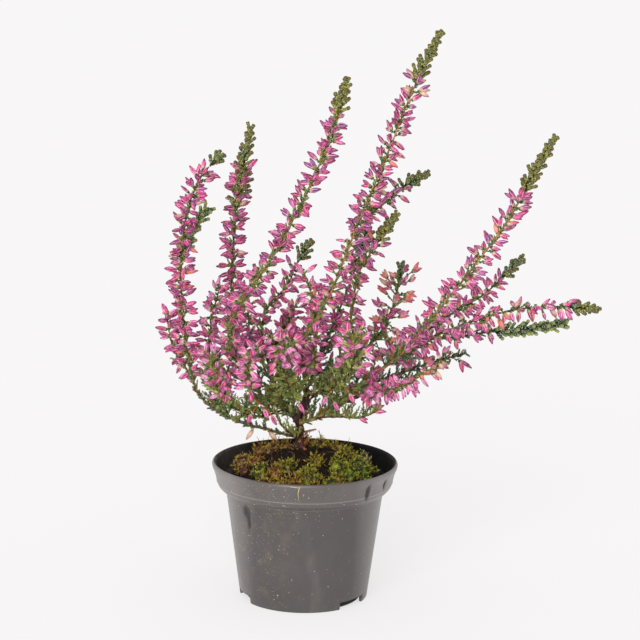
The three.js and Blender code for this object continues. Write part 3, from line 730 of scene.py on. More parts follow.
def pot_look():
    """Grey-taupe plastic with earthy smudges on its left, and painted light: a paler band over a darker body,
    a painted sheen at its left and right sides, painted highlights on its ridges and painted shade in its
    dents.
    """
    look = Look("pot_plastic", specular=0.6)
    where = look.axes()
    half_width = SHOULDER_RADIUS * MM
    height = look.maths("MULTIPLY", where["Z"], 1 / (POT_HEIGHT * MM))
    off_axis = look.maths("MULTIPLY_ADD", where["X"], 1 / half_width, -AXIS[0] / half_width)
    streaks = look.noise(120, 4, 0.6, look.place((1, 1, 0.15)))
    tone_and_painted_band_light = look.paint(
        look.ramp(look.noise(40, 4, 0.6), (0.3, (82, 77, 75)), (0.7, (95, 89, 87))),
        # painted shade on the body below the shoulder, so that the band looks paler as if it caught more
        # light
        (height, [(0.76, 1), (0.86, 0)], (216, 217, 218), "MULTIPLY"),
        (streaks, [(0.55, 0), (0.8, 0.3)], (132, 126, 122)))
    patches = look.ramp(look.noise(220, 4, 0.7), (0.5, 0), (0.75, 0.35))
    left = look.ramp(look.maths("MULTIPLY_ADD", where["X"], -20, -0.3), (0, 0), (0.5, 1))
    smudged = look.mix(look.maths("MULTIPLY", patches, left), tone_and_painted_band_light, (132, 112, 88))
    colour = look.paint(
        smudged,
        # a painted sheen towards the pot's left and right sides
        (look.maths("ABSOLUTE", off_axis), [(0.62, 0), (0.95, 0.36)], (166, 160, 158)),
        (look.mark("edge"), [(0.1, 0), (1, 0.4)], (166, 160, 156)),  # painted highlights along the ridges
        (look.mark("shade"), [(0.12, 0), (0.45, 0.95)], (40, 37, 37)))  # and painted shade in the dents
    look.drive(Roughness=look.ramp(streaks, (0.3, 0.42), (0.75, 0.3)))
    return look.finished(colour, look.noise(500, 3), 0.06, 0.0002)


def inside_look():
    """The pot's black inner face, dusty with peat, and grey towards its left, partly from peat dust and
    partly as painted light on the left wall.
    """
    look = Look("pot_inside", 0.6, 0.2)
    dust = look.noise(300, 5, 0.7)
    # towards the left the face turns grey: partly peat dust, partly painted light on the left wall
    left = look.maths("MULTIPLY_ADD", look.axes()["X"], -60, -2.6)
    black = look.ramp(dust, (0.5, (8, 7, 9)), (0.85, (48, 40, 34)))
    grey = look.ramp(dust, (0.3, (40, 36, 34)), (0.7, (92, 84, 78)))
    return look.finished(look.paint(black, (left, [(0, 0), (1, 1)], grey)), dust, 0.15, 0.0002)


def grit_look():
    """Grains of sand, straw and seed, from pale to orange-brown."""
    look = Look("grit", 0.8)
    tone = look.ramp(look.mark("shade"), (0, (246, 242, 230)), (0.5, (222, 206, 150)), (0.8, (226, 150, 70)),
                     (1, (170, 74, 60)))
    look.drive(Base_Color=look.paint(tone, (look.noise(2500, 2), [(0, 0), (1, 0.2)], (120, 100, 80))))
    return look.material


LEAF_TONES = [(24, 80, 84), (62, 116, 80), (130, 146, 68), (196, 206, 92)]
TIP_TONES = [(58, 112, 108), (98, 116, 54), (134, 132, 44), (180, 170, 76)]
DRY_LEAF_TONES = [(104, 44, 30), (150, 66, 34), (196, 92, 36), (236, 144, 70)]
SHOOT_LOOKS = [
    bud_look(),
    dry_bud_look(),
    leaf_look("leaf", LEAF_TONES, (188, 194, 112)),
    leaf_look("dry_leaf", DRY_LEAF_TONES, (196, 116, 72)),
    leaf_look("tip_leaf", TIP_TONES, (112, 88, 50)),
    bark_look(),
]
BUD_SLOT, DRY_BUD_SLOT, LEAF_SLOT, DRY_LEAF_SLOT, TIP_SLOT, BARK_SLOT = range(len(SHOOT_LOOKS))


# ---------------------------------------------------------------- small forms

def bud_form(opening, bend):
    """A closed bud, one long and one in radius: four keeled sepals, each lapping over the next."""
    height = np.array([0, 0.2, 0.56, 0.88])
    girth = np.array([0.42, 0.94, 1, 0.36 + opening])
    turn = np.radians([-40, 0, 44])  # a sepal's inner edge, its keel and the edge that laps over
    out = np.array([0.8, 1.1, 1.02])
    rise = np.array([-0.03, 0.04, 0])
    turns = (np.arange(4)[:, None] * math.pi / 2 + turn).ravel()
    radius = girth[:, None] * np.tile(out, 4)
    levels = height[:, None] + np.tile(rise, 4) * (height[:, None] > 0.8)
    rings = np.stack([radius * np.cos(turns) + bend * levels**2, radius * np.sin(turns), levels], axis=2)
    form = Shape()
    low = rings[0].mean(axis=0)
    high = rings[-1].mean(axis=0) + (0.2 * bend, 0, 0.12)
    # The edge mark is 0 at the creases, for painted shade, 0.6 at the keels, for a painted highlight, and 1
    # at the pale margins.
    form.loft(rings, ends=(low, high), along=height[:, None], edge=np.tile([0, 0.6, 1], 4)[None])
    return form


def scale_form(spread, thickness, tuck, levels):
    """A keeled scale leaf, one long, that stands up z with its keel towards +x and its tip tucked in."""
    rings = [[(0.02, -spread * width, height), (thickness * width, 0, height), (0.02, spread * width, height)]
             for height, width in levels]
    form = Shape()
    form.loft(np.array(rings), ends=((0, 0, 0), (-tuck, 0, 1)))
    # The edge mark runs up each leaf, for the painted shade at its foot and the painted highlight at its
    # point.
    form.marks["edge"] = [np.array([*np.repeat([height for height, _ in levels], 3), 0, 1])]
    return form


def leafy_twig_form(name, scale, length, radius, step, leaf, lean=28, taper=0.4):
    """A short twig in pairs of scale leaves, each pair square to the one before. In millimetres."""
    rng = seeded(name)
    form = Shape()
    bow = rng.uniform(-0.06, 0.06, 2) * length
    share = np.linspace(0, 1, 4)
    line = np.stack([bow[0] * share**2, bow[1] * share**2, share * length], axis=1)
    form.tube(line[::3], radius * (1 - 0.4 * share[::3]), 3, edge=0.2)
    height = np.repeat(np.arange(0.4, length, step), 2)
    count = len(height)
    along = height / length
    pair = np.arange(count) // 2
    turn = np.arange(count) * math.pi + pair * math.pi / 2 + rng.uniform(-0.25, 0.25, count)
    tilt = np.radians(lean * (1 - taper * along) + rng.uniform(-6, 6, count))
    outward = level_way(turn)
    z = outward * np.sin(tilt)[:, None] + UP * np.cos(tilt)[:, None]
    x = unit(outward - z * np.sum(outward * z, axis=1, keepdims=True))
    sizes = leaf * (1 - 0.15 * along) * rng.uniform(0.85, 1.15, count)
    matrices = np.stack([x, np.cross(z, x), z], axis=2) * sizes[:, None, None]
    origins = np.stack([bow[0] * along**2, bow[1] * along**2, height], axis=1)
    form.stamp(scale, origins, matrices, along=along)
    return form


def club_form(name):
    """A stubby growing twig: plump scale leaves up to a rounded head."""
    form = leafy_twig_form(name, PLUMP_SCALE, CLUB_LENGTH, 0.5, 0.45, 1.4, 25, 0.35)
    head = [(0.55, CLUB_LENGTH - 0.3), (0.72, CLUB_LENGTH + 0.3), (0.5, CLUB_LENGTH + 0.8)]
    form.loft(turned(head, even_turns(6)), along=1, edge=0.6)
    return form


def branch_form(name):
    """A feathery side branch: a twig in scale leaves with leafy twiglets all round it."""
    rng = seeded(name)
    form = Shape()
    spine = leafy_twig_form(name, SLIM_SCALE, BRANCH_LENGTH, 0.26, 0.9, 1.2)
    form.stamp(spine, np.zeros((1, 3)), np.eye(3)[None])
    twiglets = Placements(TWIGLETS, rng)
    for n, height in enumerate(np.arange(1.6, BRANCH_LENGTH - 1.5, 1.2)):
        share = height / BRANCH_LENGTH
        lean = math.radians(rng.uniform(20, 42))
        way = leaning(UP, spiral(n, rng), lean)
        size = (1 - 0.5 * share) * rng.uniform(0.7, 1.2)
        twiglets.put(UP * height, way, ANY_TURN, 0.95, size, 0.5)
    twiglets.stamp(form)
    return form


PLUMP_SCALE = scale_form(0.42, 0.36, 0.14, ((0.3, 0.9), (0.78, 0.95)))
SLIM_SCALE = scale_form(0.34, 0.32, 0.12, ((0.5, 1),))
BUD_SHAPES = ((0, 0), (0.02, 0.5), (0.06, 0.2), (0, -0.35), (0.12, 0.1), (0.03, 0.8))  # opening and bend
BUDS = [bud_form(opening, bend) for opening, bend in BUD_SHAPES]
CLUBS = [club_form(f"club {n}") for n in range(4)]
SPRIGS = [leafy_twig_form(f"sprig {n}", SLIM_SCALE, SPRIG_LENGTH, 0.24, 0.6, 1.1) for n in range(5)]
TWIGLETS = [leafy_twig_form(f"twiglet {n}", SLIM_SCALE, TWIGLET_LENGTH, 0.22, 0.6, 1.15) for n in range(5)]
BRANCHES = [branch_form(f"branch {n}") for n in range(5)]


# ---------------------------------------------------------------- pot

# The small dents in the wall: their turn in degrees from the front, their height, their reach in
# turn and in height, and their depth.
DENTS = [(44, 46.5, 1.8, 3, 0.9), (61.5, 47.5, 1.6, 2, 0.8), (-47, 37.5, 4.5, 2.2, 0.75),
         (-45.5, 33, 2, 3, 0.6)]
CORNER_RADIUS = 0.35


def dent_depth(turn, height):
    """How deep the wall's small dents are at a turn, in degrees from the front, and a height."""
    return sum(depth * np.exp(-((turn - middle) / reach) ** 2 - ((height - level) / rise) ** 2)
               for middle, level, reach, rise, depth in DENTS)


def wall_shift(turn, height):
    """How far the wall stands off its round shape, from a slight waver and its dents."""
    waver = 0.12 * np.sin(np.radians(3 * turn) + 1) * height / POT_HEIGHT
    return waver - dent_depth(turn, height)


def pot_turns():
    """The turns of the pot's columns, closer together at its dents."""
    even = np.linspace(-180, 180, POT_SEGMENTS, endpoint=False)
    fine = [middle + reach * np.linspace(-2, 2, 9) for middle, _, reach, _, _ in DENTS]
    return np.radians(np.sort(np.concatenate([even, *fine])) - 90)


def rounded(profile):
    """A profile with each inner corner cut into a small arc."""
    points = np.array(profile, float)
    smooth = [points[0]]
    for before, corner, after in zip(points, points[1:], points[2:]):
        back, ahead = before - corner, after - corner
        reach = min(CORNER_RADIUS, np.linalg.norm(back) / 2.2, np.linalg.norm(ahead) / 2.2)
        start, end = corner + unit(back) * reach, corner + unit(ahead) * reach
        for t in (0, 0.5, 1):
            smooth.append((1 - t) ** 2 * start + 2 * t * (1 - t) * corner + t**2 * end)
    smooth.append(points[-1])
    return np.array(smooth)


def pot_outline():
    """The pot's outside from the middle of its floor to its rim, and its inside back down."""
    lip_bottom = POT_HEIGHT - LIP_HEIGHT
    floor_top = FLOOR_HEIGHT + WALL
    outside = [
        (2, FLOOR_HEIGHT), (FOOT_RADIUS - 1.2 * WALL, FLOOR_HEIGHT), (FOOT_RADIUS - 1.2 * WALL, 0),
        (FOOT_RADIUS, 0), (SHOULDER_RADIUS, SHOULDER_HEIGHT), (SHOULDER_RADIUS + 0.5, SHOULDER_HEIGHT + 0.2),
        *BAND_PROFILE, (LIP_FOOT_RADIUS, lip_bottom), (RIM_RADIUS - 0.2, lip_bottom + 1),
        (RIM_RADIUS, POT_HEIGHT - 0.9), (RIM_RADIUS - 0.25, POT_HEIGHT - 0.25),
        (RIM_RADIUS - 0.7, POT_HEIGHT),
    ]
    inside = [
        (RIM_RADIUS - 1.2, POT_HEIGHT - 0.2), (RIM_RADIUS - 1.6, POT_HEIGHT - 0.8),
        (RIM_RADIUS - 2, lip_bottom), (BAND_RADIUS - WALL, BAND_HEIGHT + 0.6),
        (SHOULDER_RADIUS - WALL, SHOULDER_HEIGHT + 0.8), (FOOT_RADIUS - WALL + 0.6, floor_top),
        (2, floor_top),
    ]
    return outside, inside


def cut(piece, cutters):
    """Takes the cutters out of a piece and removes them."""
    for number, cutter in enumerate(cutters):
        modifier = piece.modifiers.new(f"cut {number}", "BOOLEAN")
        modifier.operation = "DIFFERENCE"
        modifier.solver = "EXACT"
        modifier.object = cutter
        bpy.context.view_layer.objects.active = piece
        with bpy.context.temp_override(object=piece, active_object=piece):
            bpy.ops.object.modifier_apply(modifier=modifier.name)
        bpy.data.objects.remove(cutter)


def notch_cutter(degrees):
    """A box across the foot ring to cut one notch with."""
    side, height = NOTCH_WIDTH / 2, FLOOR_HEIGHT - 0.1
    near, far = -FOOT_RADIUS - 3, -FOOT_RADIUS + 3
    spin = Matrix.Rotation(math.radians(degrees), 3, "Z")
    points = [Vector(AXIS) + MM * (spin @ Vector((x, y, z))) for z in (-height, height)
              for x, y in ((-side, near), (side, near), (side, far), (-side, far))]
    faces = [(3, 2, 1, 0), (4, 5, 6, 7), (0, 1, 5, 4), (1, 2, 6, 5), (2, 3, 7, 6), (3, 0, 4, 7)]
    return plain_object("notch", points, faces)


def drain_cutter(turn):
    """A short rod to cut one drain hole with."""
    rod = Shape()
    foot = level_way(turn) * DRAIN_CIRCLE
    rod.tube([foot + UP * (FLOOR_HEIGHT - 1), foot + UP * (FLOOR_HEIGHT + WALL + 1)], DRAIN_RADIUS, 24)
    points, faces, _, _ = rod.joined()
    return plain_object("drain", (points * MM + AXIS).tolist(), faces.tolist())


def make_pot():
    """A thin turned wall, waved and dented, with its notches and drain holes cut out."""
    outside, inside = (rounded(profile) for profile in pot_outline())
    corners = np.vstack([outside, inside])
    profile = []
    for start, end in zip(corners, corners[1:]):
        count = max(1, int(np.linalg.norm(end - start) / 2))
        profile += [start + (end - start) * k / count for k in range(count)]
    profile = np.array([*profile, inside[-1]])
    rings = turned(profile, pot_turns())
    x, y, z = np.moveaxis(rings, 2, 0)
    radius = np.hypot(x, y)
    turn = np.degrees(np.arctan2(x, -y))
    moved = 1 + np.where(radius > FOOT_RADIUS - 4, wall_shift(turn, z), 0) / np.maximum(radius, 1)
    # Painted shade in the dents, by their depth, carried by the shade mark.
    dents = np.minimum(dent_depth(turn, z), 1)
    rings[..., :2] *= moved[..., None]
    heights = profile[:, 1]
    bands = (np.arange(len(profile) - 1) >= np.argmax(heights)).astype(int)
    # Painted highlights along the shoulder's and the band's ridges, carried by the edge mark.
    ridge_highlight = sum(np.exp(-((heights - ridge - 0.2) / 0.25) ** 2) for ridge in (SHOULDER_HEIGHT, BAND_HEIGHT))
    pot = Shape()
    pot.loft(rings, bands, edge=ridge_highlight[:, None], shade=dents)
    piece = pot.build("pot_dressed", [pot_look(), inside_look()], "pot", ["pot"])
    cut(piece, [notch_cutter(degrees) for degrees in NOTCH_TURNS])
    cut(piece, [drain_cutter(2 * math.pi * (n + 0.5) / DRAIN_HOLES) for n in range(DRAIN_HOLES)])


# ---------------------------------------------------------------- soil and moss

def lumps(x, y):
    """How far the mound's uneven top stands off its even shape."""
    return 0.9 * np.sin(0.45 * x + 1) * np.cos(0.5 * y) + 0.5 * np.sin(0.9 * y + 0.3 * x + 2)


def mound_height(radius):
    reach = np.minimum(radius / SOIL_RADIUS, 1)
    return SOIL_EDGE + (SOIL_CREST - SOIL_EDGE) * (1 - reach**2.2)


def crumb_form():
    """A lump of peat, one across: an octahedron with knocked corners."""
    form = Shape()
    points = np.array([(1, 0, 0), (0, 1, 0), (-1, 0.1, 0), (0.1, -1, 0), (0, 0.1, 0.8), (0.1, 0, -0.8)]) / 2
    faces = [(0, 1, 4), (1, 2, 4), (2, 3, 4), (3, 0, 4), (1, 0, 5), (2, 1, 5), (3, 2, 5), (0, 3, 5)]
    form.add(points, faces)
    return form


def make_root_ball():
    """The root ball down to the pot's floor, its mound rough with crumbs and fibres."""
    rng = seeded("root ball")
    bottom = FLOOR_HEIGHT + WALL + GAP
    sides = [(2, bottom), (SOIL_FOOT_RADIUS, bottom), (SOIL_RADIUS - 2, SOIL_MIDDLE),
             (SOIL_RADIUS, SOIL_EDGE - 6)]
    radii = SOIL_RADIUS * np.linspace(1, 0.04, MOUND_RINGS)
    top = list(zip(radii, mound_height(radii)))
    rings = turned(sides + top, even_turns(MOUND_SEGMENTS))
    x, y, z = np.moveaxis(rings, 2, 0)
    reach = np.hypot(x, y) / SOIL_RADIUS
    rough = sum(size * np.sin(k * x + 2 * k) * np.sin(k * 1.1 * y + k)
                for k, size in ((1.3, 0.35), (2.9, 0.25)))
    rings[..., 2] += np.where(z > SOIL_EDGE - 4, (lumps(x, y) + rough) * (1 - 0.5 * reach), 0)
    ball = Shape()
    ball.loft(rings, shade=0.25)
    radius = SOIL_RADIUS * np.sqrt(rng.uniform(0.02, 0.98, CRUMBS))
    turn = rng.uniform(0, 2 * math.pi, CRUMBS)
    x, y = radius * np.cos(turn), radius * np.sin(turn)
    heights = mound_height(radius) + lumps(x, y) * (1 - 0.5 * radius / SOIL_RADIUS)
    sizes = rng.gamma(4, 0.28, CRUMBS)
    ways = rng.normal(size=(CRUMBS, 3))
    matrices = standing(ways, rng.uniform(*ANY_TURN, CRUMBS), sizes, 0.8 * sizes)
    places = np.stack([x, y, heights], axis=1)
    ball.stamp(crumb_form(), places, matrices, shade=rng.beta(2, 3, CRUMBS))
    for _ in range(FIBRES):
        ball.tube(fibre(rng), (0.12, 0.16, 0.14, 0.06), 3, shade=rng.uniform(0.6, 1))
    ball.build("root_ball_dressed", [soil_look()], "soil", ["root_ball"], smooth=False)


WALL_START = 3  # the point of the pot's outline where its wall starts
BIG_GRAINS = [(-22, 6.5, 0.9, 0.8), (-18.5, 3.2, 0.7, 1), (66, 36, 0.6, 0.6)]  # turn, height, size, tone
# The points of two straws at the rim: their turn, how far they are below it and off the wall.
HANGING_STRAW = [(-2.6, 0.6, 0.3), (-3.6, 3, 0.25), (-3.3, 6, 0.2)]
LYING_STRAW = [(-8, 0.6, 0.3), (-5, 0.8, 0.35), (-1.9, 0.9, 0.3)]


def on_wall(turn, height, lift=0):
    """A point on the pot's outside, by its turn in degrees from the front and its height."""
    outside, _ = pot_outline()
    radii, heights = np.array(outside[WALL_START:]).T
    radius = np.interp(height, heights, radii) + wall_shift(turn, height) + lift
    angle = math.radians(turn)
    return np.array([radius * math.sin(angle), -radius * math.cos(angle), height])


def grain_share(turn, height):
    """How many of the grains stick at a turn and height: most on the band and the shoulder in front."""
    if height > SHOULDER_HEIGHT - 3:
        return 0.12 + math.exp(-((turn + 12) / 26) ** 2)
    return 0.06 + 0.3 * math.exp(-((turn + 38) / 26) ** 2)


def make_litter():
    """Fine grit stuck to the pot's wall, some bigger grains, and two straws at its rim."""
    rng = seeded("litter")
    litter = Shape()
    grains = []
    for _ in range(GRAINS):
        turn, height = rng.uniform(-180, 180), rng.uniform(2, POT_HEIGHT - 1)
        if rng.uniform() < grain_share(turn, height):
            grains.append((*on_wall(turn, height), rng.gamma(6, 0.032), rng.beta(1, 2.2)))
    grains += [(*on_wall(turn, height), size, tone) for turn, height, size, tone in BIG_GRAINS]
    grains = np.array(grains)
    places, sizes = grains[:, :3], grains[:, 3]
    matrices = standing(places * (1, 1, 0), rng.uniform(*ANY_TURN, len(grains)), sizes, 0.4 * sizes)
    litter.stamp(crumb_form(), places, matrices, shade=grains[:, 4])
    for straw in (HANGING_STRAW, LYING_STRAW):
        points = [on_wall(turn, POT_HEIGHT - below, lift) for turn, below, lift in straw]
        litter.tube(points, (0.13, 0.14, 0.07), 5)
    litter.build("litter", [grit_look()], "soil")


def fibre(rng):
    """A root or straw that lies on the mound, as four points."""
    radius, turn = SOIL_RADIUS * math.sqrt(rng.uniform(0.1, 0.95)), rng.uniform(0, 2 * math.pi)
    heading = rng.uniform(0, 2 * math.pi)
    points = []
    for step in np.linspace(0, rng.uniform(4, 9), 4):
        x, y, _ = radius * level_way(turn) + step * level_way(heading + 0.1 * step)
        shrink = min(1, (SOIL_RADIUS + 1) / math.hypot(x, y))
        x, y = x * shrink, y * shrink
        points.append((x, y, mound_height(math.hypot(x, y)) + lumps(x, y) * 0.6 + rng.uniform(0.4, 1.1)))
    return points


def moss_shoot_form(name, blades):
    """A moss shoot, one high: pointed leaves that stand out all round a thin stem."""
    rng = seeded(name)
    form = Shape()
    turn = np.arange(blades) * GOLDEN_ANGLE + rng.uniform(-0.3, 0.3, blades)
    tilt = np.radians(np.linspace(78, 10, blades) + rng.uniform(-10, 10, blades))
    directions = level_way(turn) * np.sin(tilt)[:, None] + UP * np.cos(tilt)[:, None]
    heights = np.linspace(0.15, 0.6, blades)
    sizes = rng.uniform(0.35, 0.75, blades)
    blade = scale_form(0.12, 0.11, 0.1, ((0.35, 1),))
    matrices = standing(directions, np.zeros(blades), sizes, sizes)
    # The along mark rises up the shoot, from painted shade at its foot to a painted highlight at its top.
    form.stamp(blade, UP * heights[:, None], matrices, along=heights + 0.4)
    return form


MOSS_SHOOTS = [moss_shoot_form(f"moss {n}", 7) for n in range(4)]


def clump_rings(reach, height, rng):
    """Rings of a small knobbly mound, flat below, about its own middle."""
    levels = [(1, -1.2), (1, -0.1), (0.9, 0.25), (0.7, 0.55), (0.45, 0.8), (0.15, 0.95)]
    spin = even_turns(16)
    rings = []
    for share, level in levels:
        around = 0.9 * reach * share * rng.uniform(0.8, 1.2, len(spin))
        rise = 0.8 * height * level + rng.uniform(-0.3, 0.3, len(spin))
        rings.append(np.stack([around * np.cos(spin), around * np.sin(spin), rise], axis=1))
    return np.array(rings)


def add_strand(cushion, origin, way, shade, rng):
    """A thin curling strand that stands out of the moss."""
    length = rng.uniform(1.5, 3.6)
    curl = rng.normal(0, 0.3, 3)
    points = [origin + (way + curl * share) * length * share for share in (0, 0.4, 0.75, 1)]
    cushion.tube(points, (0.16, 0.14, 0.12, 0.05), 3, shade=shade)


def make_moss(name, clumps, look):
    """Clumps of moss on the mound, each a knobbly lump under many moss shoots."""
    rng = seeded(name)
    cushion = Shape()
    for across, depth, reach, height, tone in clumps:
        middle = np.array([across, depth, mound_height(math.hypot(across, depth))])
        rings = clump_rings(reach, height, rng)
        # Random along marks give the lumps patches of painted shade.
        cushion.loft(rings + middle, shade=tone, along=rng.uniform(0.35, 0.72, rings.shape[:2]))
        count = int(MOSS_DENSITY * reach**2)
        share, spin = np.sqrt(rng.uniform(0, 1.2, count)), rng.uniform(0, 2 * math.pi, count)
        x, y = share * np.cos(spin), share * np.sin(spin)
        z = height * np.maximum(1 - share**2, -0.2) - 0.4
        origins = middle + np.stack([reach * x, reach * y, z], axis=1)
        outward = np.stack([x, y, np.full(count, 0.9)], axis=1) + rng.normal(0, 0.3, (count, 3))
        sizes = rng.uniform(1, 2.2, count)
        matrices = standing(outward, rng.uniform(*ANY_TURN, count), 0.8 * sizes, sizes)
        shades = np.clip(tone + rng.normal(0, 0.1, count), 0, max(tone, 0.82))
        for k, form in enumerate(MOSS_SHOOTS):
            some = slice(k, None, len(MOSS_SHOOTS))
            cushion.stamp(form, origins[some], matrices[some], shade=shades[some])
        for origin, way, shade in zip(origins[:int(4 * reach)], outward, shades):
            add_strand(cushion, origin, unit(way), max(0, shade + rng.uniform(-0.3, 0.1)), rng)
    cushion.build(f"{name}_dressed", [look], "moss", [name])


# ---------------------------------------------------------------- shoots

class Growth:
    """All that grows along one curve by a shoot's plan, gathered in a shape."""

    def __init__(self, shape, curve, shoot, rng):
        self.shape, self.curve, self.shoot, self.rng = shape, curve, shoot, rng
        self.placements = [Placements(forms, rng, LEAF_SLOT)
                           for forms in (BRANCHES, SPRIGS, CLUBS, BUDS, [SLIM_SCALE])]
        self.branches, self.sprigs, self.clubs, self.buds, self.scales = self.placements

    def stamp(self):
        for placements in self.placements:
            placements.stamp(self.shape)

    def aside(self, direction, least, most, turn=None):
        """A direction off another one by an angle between two, in degrees, at a given turn or any."""
        turn = self.rng.uniform(*ANY_TURN) if turn is None else turn
        return leaning(direction, turn, math.radians(self.rng.uniform(least, most)))

    def hang(self, way, droop):
        """A direction, bent down by a droop and a little at random."""
        return unit(way - UP * (droop + self.rng.uniform(-0.15, 0.2)))

    def stem(self, start, end):
        """A knotty stem along part of the curve."""
        distances = np.linspace(start, end, max(3, int((end - start) / STEM_STEP)))
        count = len(distances)
        radii = np.interp(distances, [0, self.curve.length], [STEM_RADIUS, STEM_TIP_RADIUS])
        knotty = radii * self.rng.uniform(0.88, 1.15, count)
        points = self.curve.at(distances) + self.rng.normal(0, 0.06, (count, 3))
        shades = np.clip(self.shoot["wood"] + self.rng.normal(0, 0.08, count), 0, 1)
        self.shape.tube(points, knotty, 5, BARK_SLOT, shades)

    def cluster(self, place, way, count, shoot):
        """Buds that part near the end of a short twig, each in a cup of green bracts."""
        rng = self.rng
        # Painted light: low in the bush the buds are given a paler tone.
        paler = 0.12 * np.clip((PALE_BELOW - place[2]) / 25, 0, 1)
        for _ in range(count):
            parting = self.aside(way, 8, 38, rng.uniform(0, 2 * math.pi))
            towards = self.hang(parting, shoot["droop"])
            foot = place - way * rng.uniform(0, 0.8)
            size = rng.uniform(0.8, 1.12)
            slot = DRY_BUD_SLOT if rng.uniform() < shoot["dry"] else BUD_SLOT
            roll, width = rng.uniform(*ANY_TURN), BUD_RADIUS * size * rng.uniform(0.9, 1.1)
            shade = min(rng.uniform(*shoot["blush"]) + paler, PALEST)
            self.buds.put(foot + towards * 0.4, towards, roll, width, BUD_LENGTH * size, shade, slot)
            for side in range(3):
                bract_way = self.aside(towards, 12, 30, 2.1 * side + rng.uniform(0, 1))
                bract_foot = foot - towards * 0.3
                self.scales.put(bract_foot, bract_way, ANY_TURN, SCALE_WIDTH, (1.1, 1.8), (0.1, 0.6))

    def whorl(self, distance, share, turn, shoot):
        """Short twigs round the stem, each with scale leaves and a cluster of buds at its end."""
        rng = self.rng
        twigs = rng.choice([3, 4])
        for k in range(twigs):
            around = turn + 2 * math.pi * k / twigs + rng.uniform(-0.35, 0.35)
            lean = math.radians(rng.uniform(62, 96) * (1 - 0.35 * share**3))
            way = leaning(self.curve.heading(distance), around, lean)
            if way[1] < -0.6 and rng.uniform() < shoot["parted"]:
                continue
            root = self.curve.at(distance + rng.uniform(-0.7, 0.7))
            reach = rng.uniform(0.25, 1) * shoot["reach"]
            self.shape.tube([root, root + way * reach], [0.3, 0.24], 3, LEAF_SLOT, 0.3, 0.4)
            for _ in range(2):
                place = root + way * reach * rng.uniform(0, 0.6)
                leaf_way = leaning(way, rng.uniform(*ANY_TURN), 0.5)
                self.scales.put(place, leaf_way, 0, SCALE_WIDTH, (1, 1.5), (0.1, 0.7))
            count = int(shoot["rich"] * (1 - shoot["thin"] * share) / twigs + rng.uniform())
            self.cluster(root + way * reach, way, count, shoot)

    def sprinkle(self, placements, count, distance, leans, width, lengths, shades):
        """Leaves or sprigs on the stem about a distance along it."""
        for _ in range(count):
            way = self.aside(self.curve.heading(distance), *leans)
            place = self.curve.at(distance + self.rng.uniform(-1.5, 1.5))
            placements.put(place, way, ANY_TURN, width, lengths, shades)

    def spike(self, start, end):
        """Whorls of buds along the stem, over small stem leaves and, lower down, leafy sprigs."""
        shoot, rng = self.shoot, self.rng
        withering = dict(shoot, dry=0.7, blush=(0, 0.4))
        distance = start + 0.8 + shoot["late"]
        turn = rng.uniform(*ANY_TURN)
        while distance < end - 0.4:
            share = (distance - start) / (end - start)
            turn += 0.9
            self.whorl(distance, share, turn, withering if distance > end - shoot["faded"] else shoot)
            self.sprinkle(self.scales, 4, distance, (20, 50), SCALE_WIDTH, (1.2, 2), (0.2, 0.9))
            sprigs = shoot["core"] + int(2.5 * (1 - share) ** 2 + rng.uniform())
            self.sprinkle(self.sprigs, sprigs, distance, (15, 45), 1, (0.5, 1), (0.3, 0.8))
            distance += WHORL_STEP * rng.uniform(0.85, 1.12)

    def side_branch(self, place, way, share, shade):
        """A feathery branch, or a plain sprig on a shoot that isn't bushy. Says how long it is."""
        shoot, rng = self.shoot, self.rng
        if rng.uniform() < shoot["bushy"]:
            size = rng.uniform(0.55, 1.1) * (1 - 0.3 * share) * shoot["twig"]
            self.branches.put(place, way, ANY_TURN, min(size * 1.1, 1), size, shade)
            return BRANCH_LENGTH * size
        size = rng.uniform(0.35, 1) * shoot["twig"]
        self.sprigs.put(place, way, ANY_TURN, 1.1, size, shade)
        return SPRIG_LENGTH * size

    def leaves(self, start, end):
        """Leafy side branches all round the stem, some with buds near their ends, and a few dry twigs."""
        shoot, rng = self.shoot, self.rng
        spacing = (BRANCH_SPACING * shoot["bushy"] + SPRIG_SPACING * (1 - shoot["bushy"])) / shoot["full"]
        for n, share, distance in spread(start, end, spacing, 2):
            place, heading = self.curve.at(distance), self.curve.heading(distance)
            way = unit(self.aside(heading, 34, 62, spiral(n, rng)) + UP * shoot["rise"])
            shade = np.clip(rng.normal(shoot["fresh"], 0.2), 0, 1)
            reach = self.side_branch(place, way, share, shade)
            if rng.uniform() < 0.2:
                dry_way = unit(self.aside(heading, 30, 80) + UP * 2 * shoot["rise"])
                lengths = (0.7 * shoot["twig"], 1.4 * shoot["twig"])
                self.sprigs.put(place, dry_way, ANY_TURN, 0.8, lengths, (0, 1), DRY_LEAF_SLOT)
            if rng.uniform() < 0.08 * shoot["bushy"]:
                self.clubs.put(place, way, 0, 1, (1, 1.8), 1)
            bud_place = place + way * reach * rng.uniform(0.5, 1)
            chance = shoot["mixed"] * (0.1 + 0.95 * share) * (0.3 + 0.7 * shoot["bushy"])
            if bud_place[2] > shoot["flush"] and rng.uniform() < chance:
                self.cluster(bud_place, way, rng.integers(1, shoot["most"] + 1), shoot)

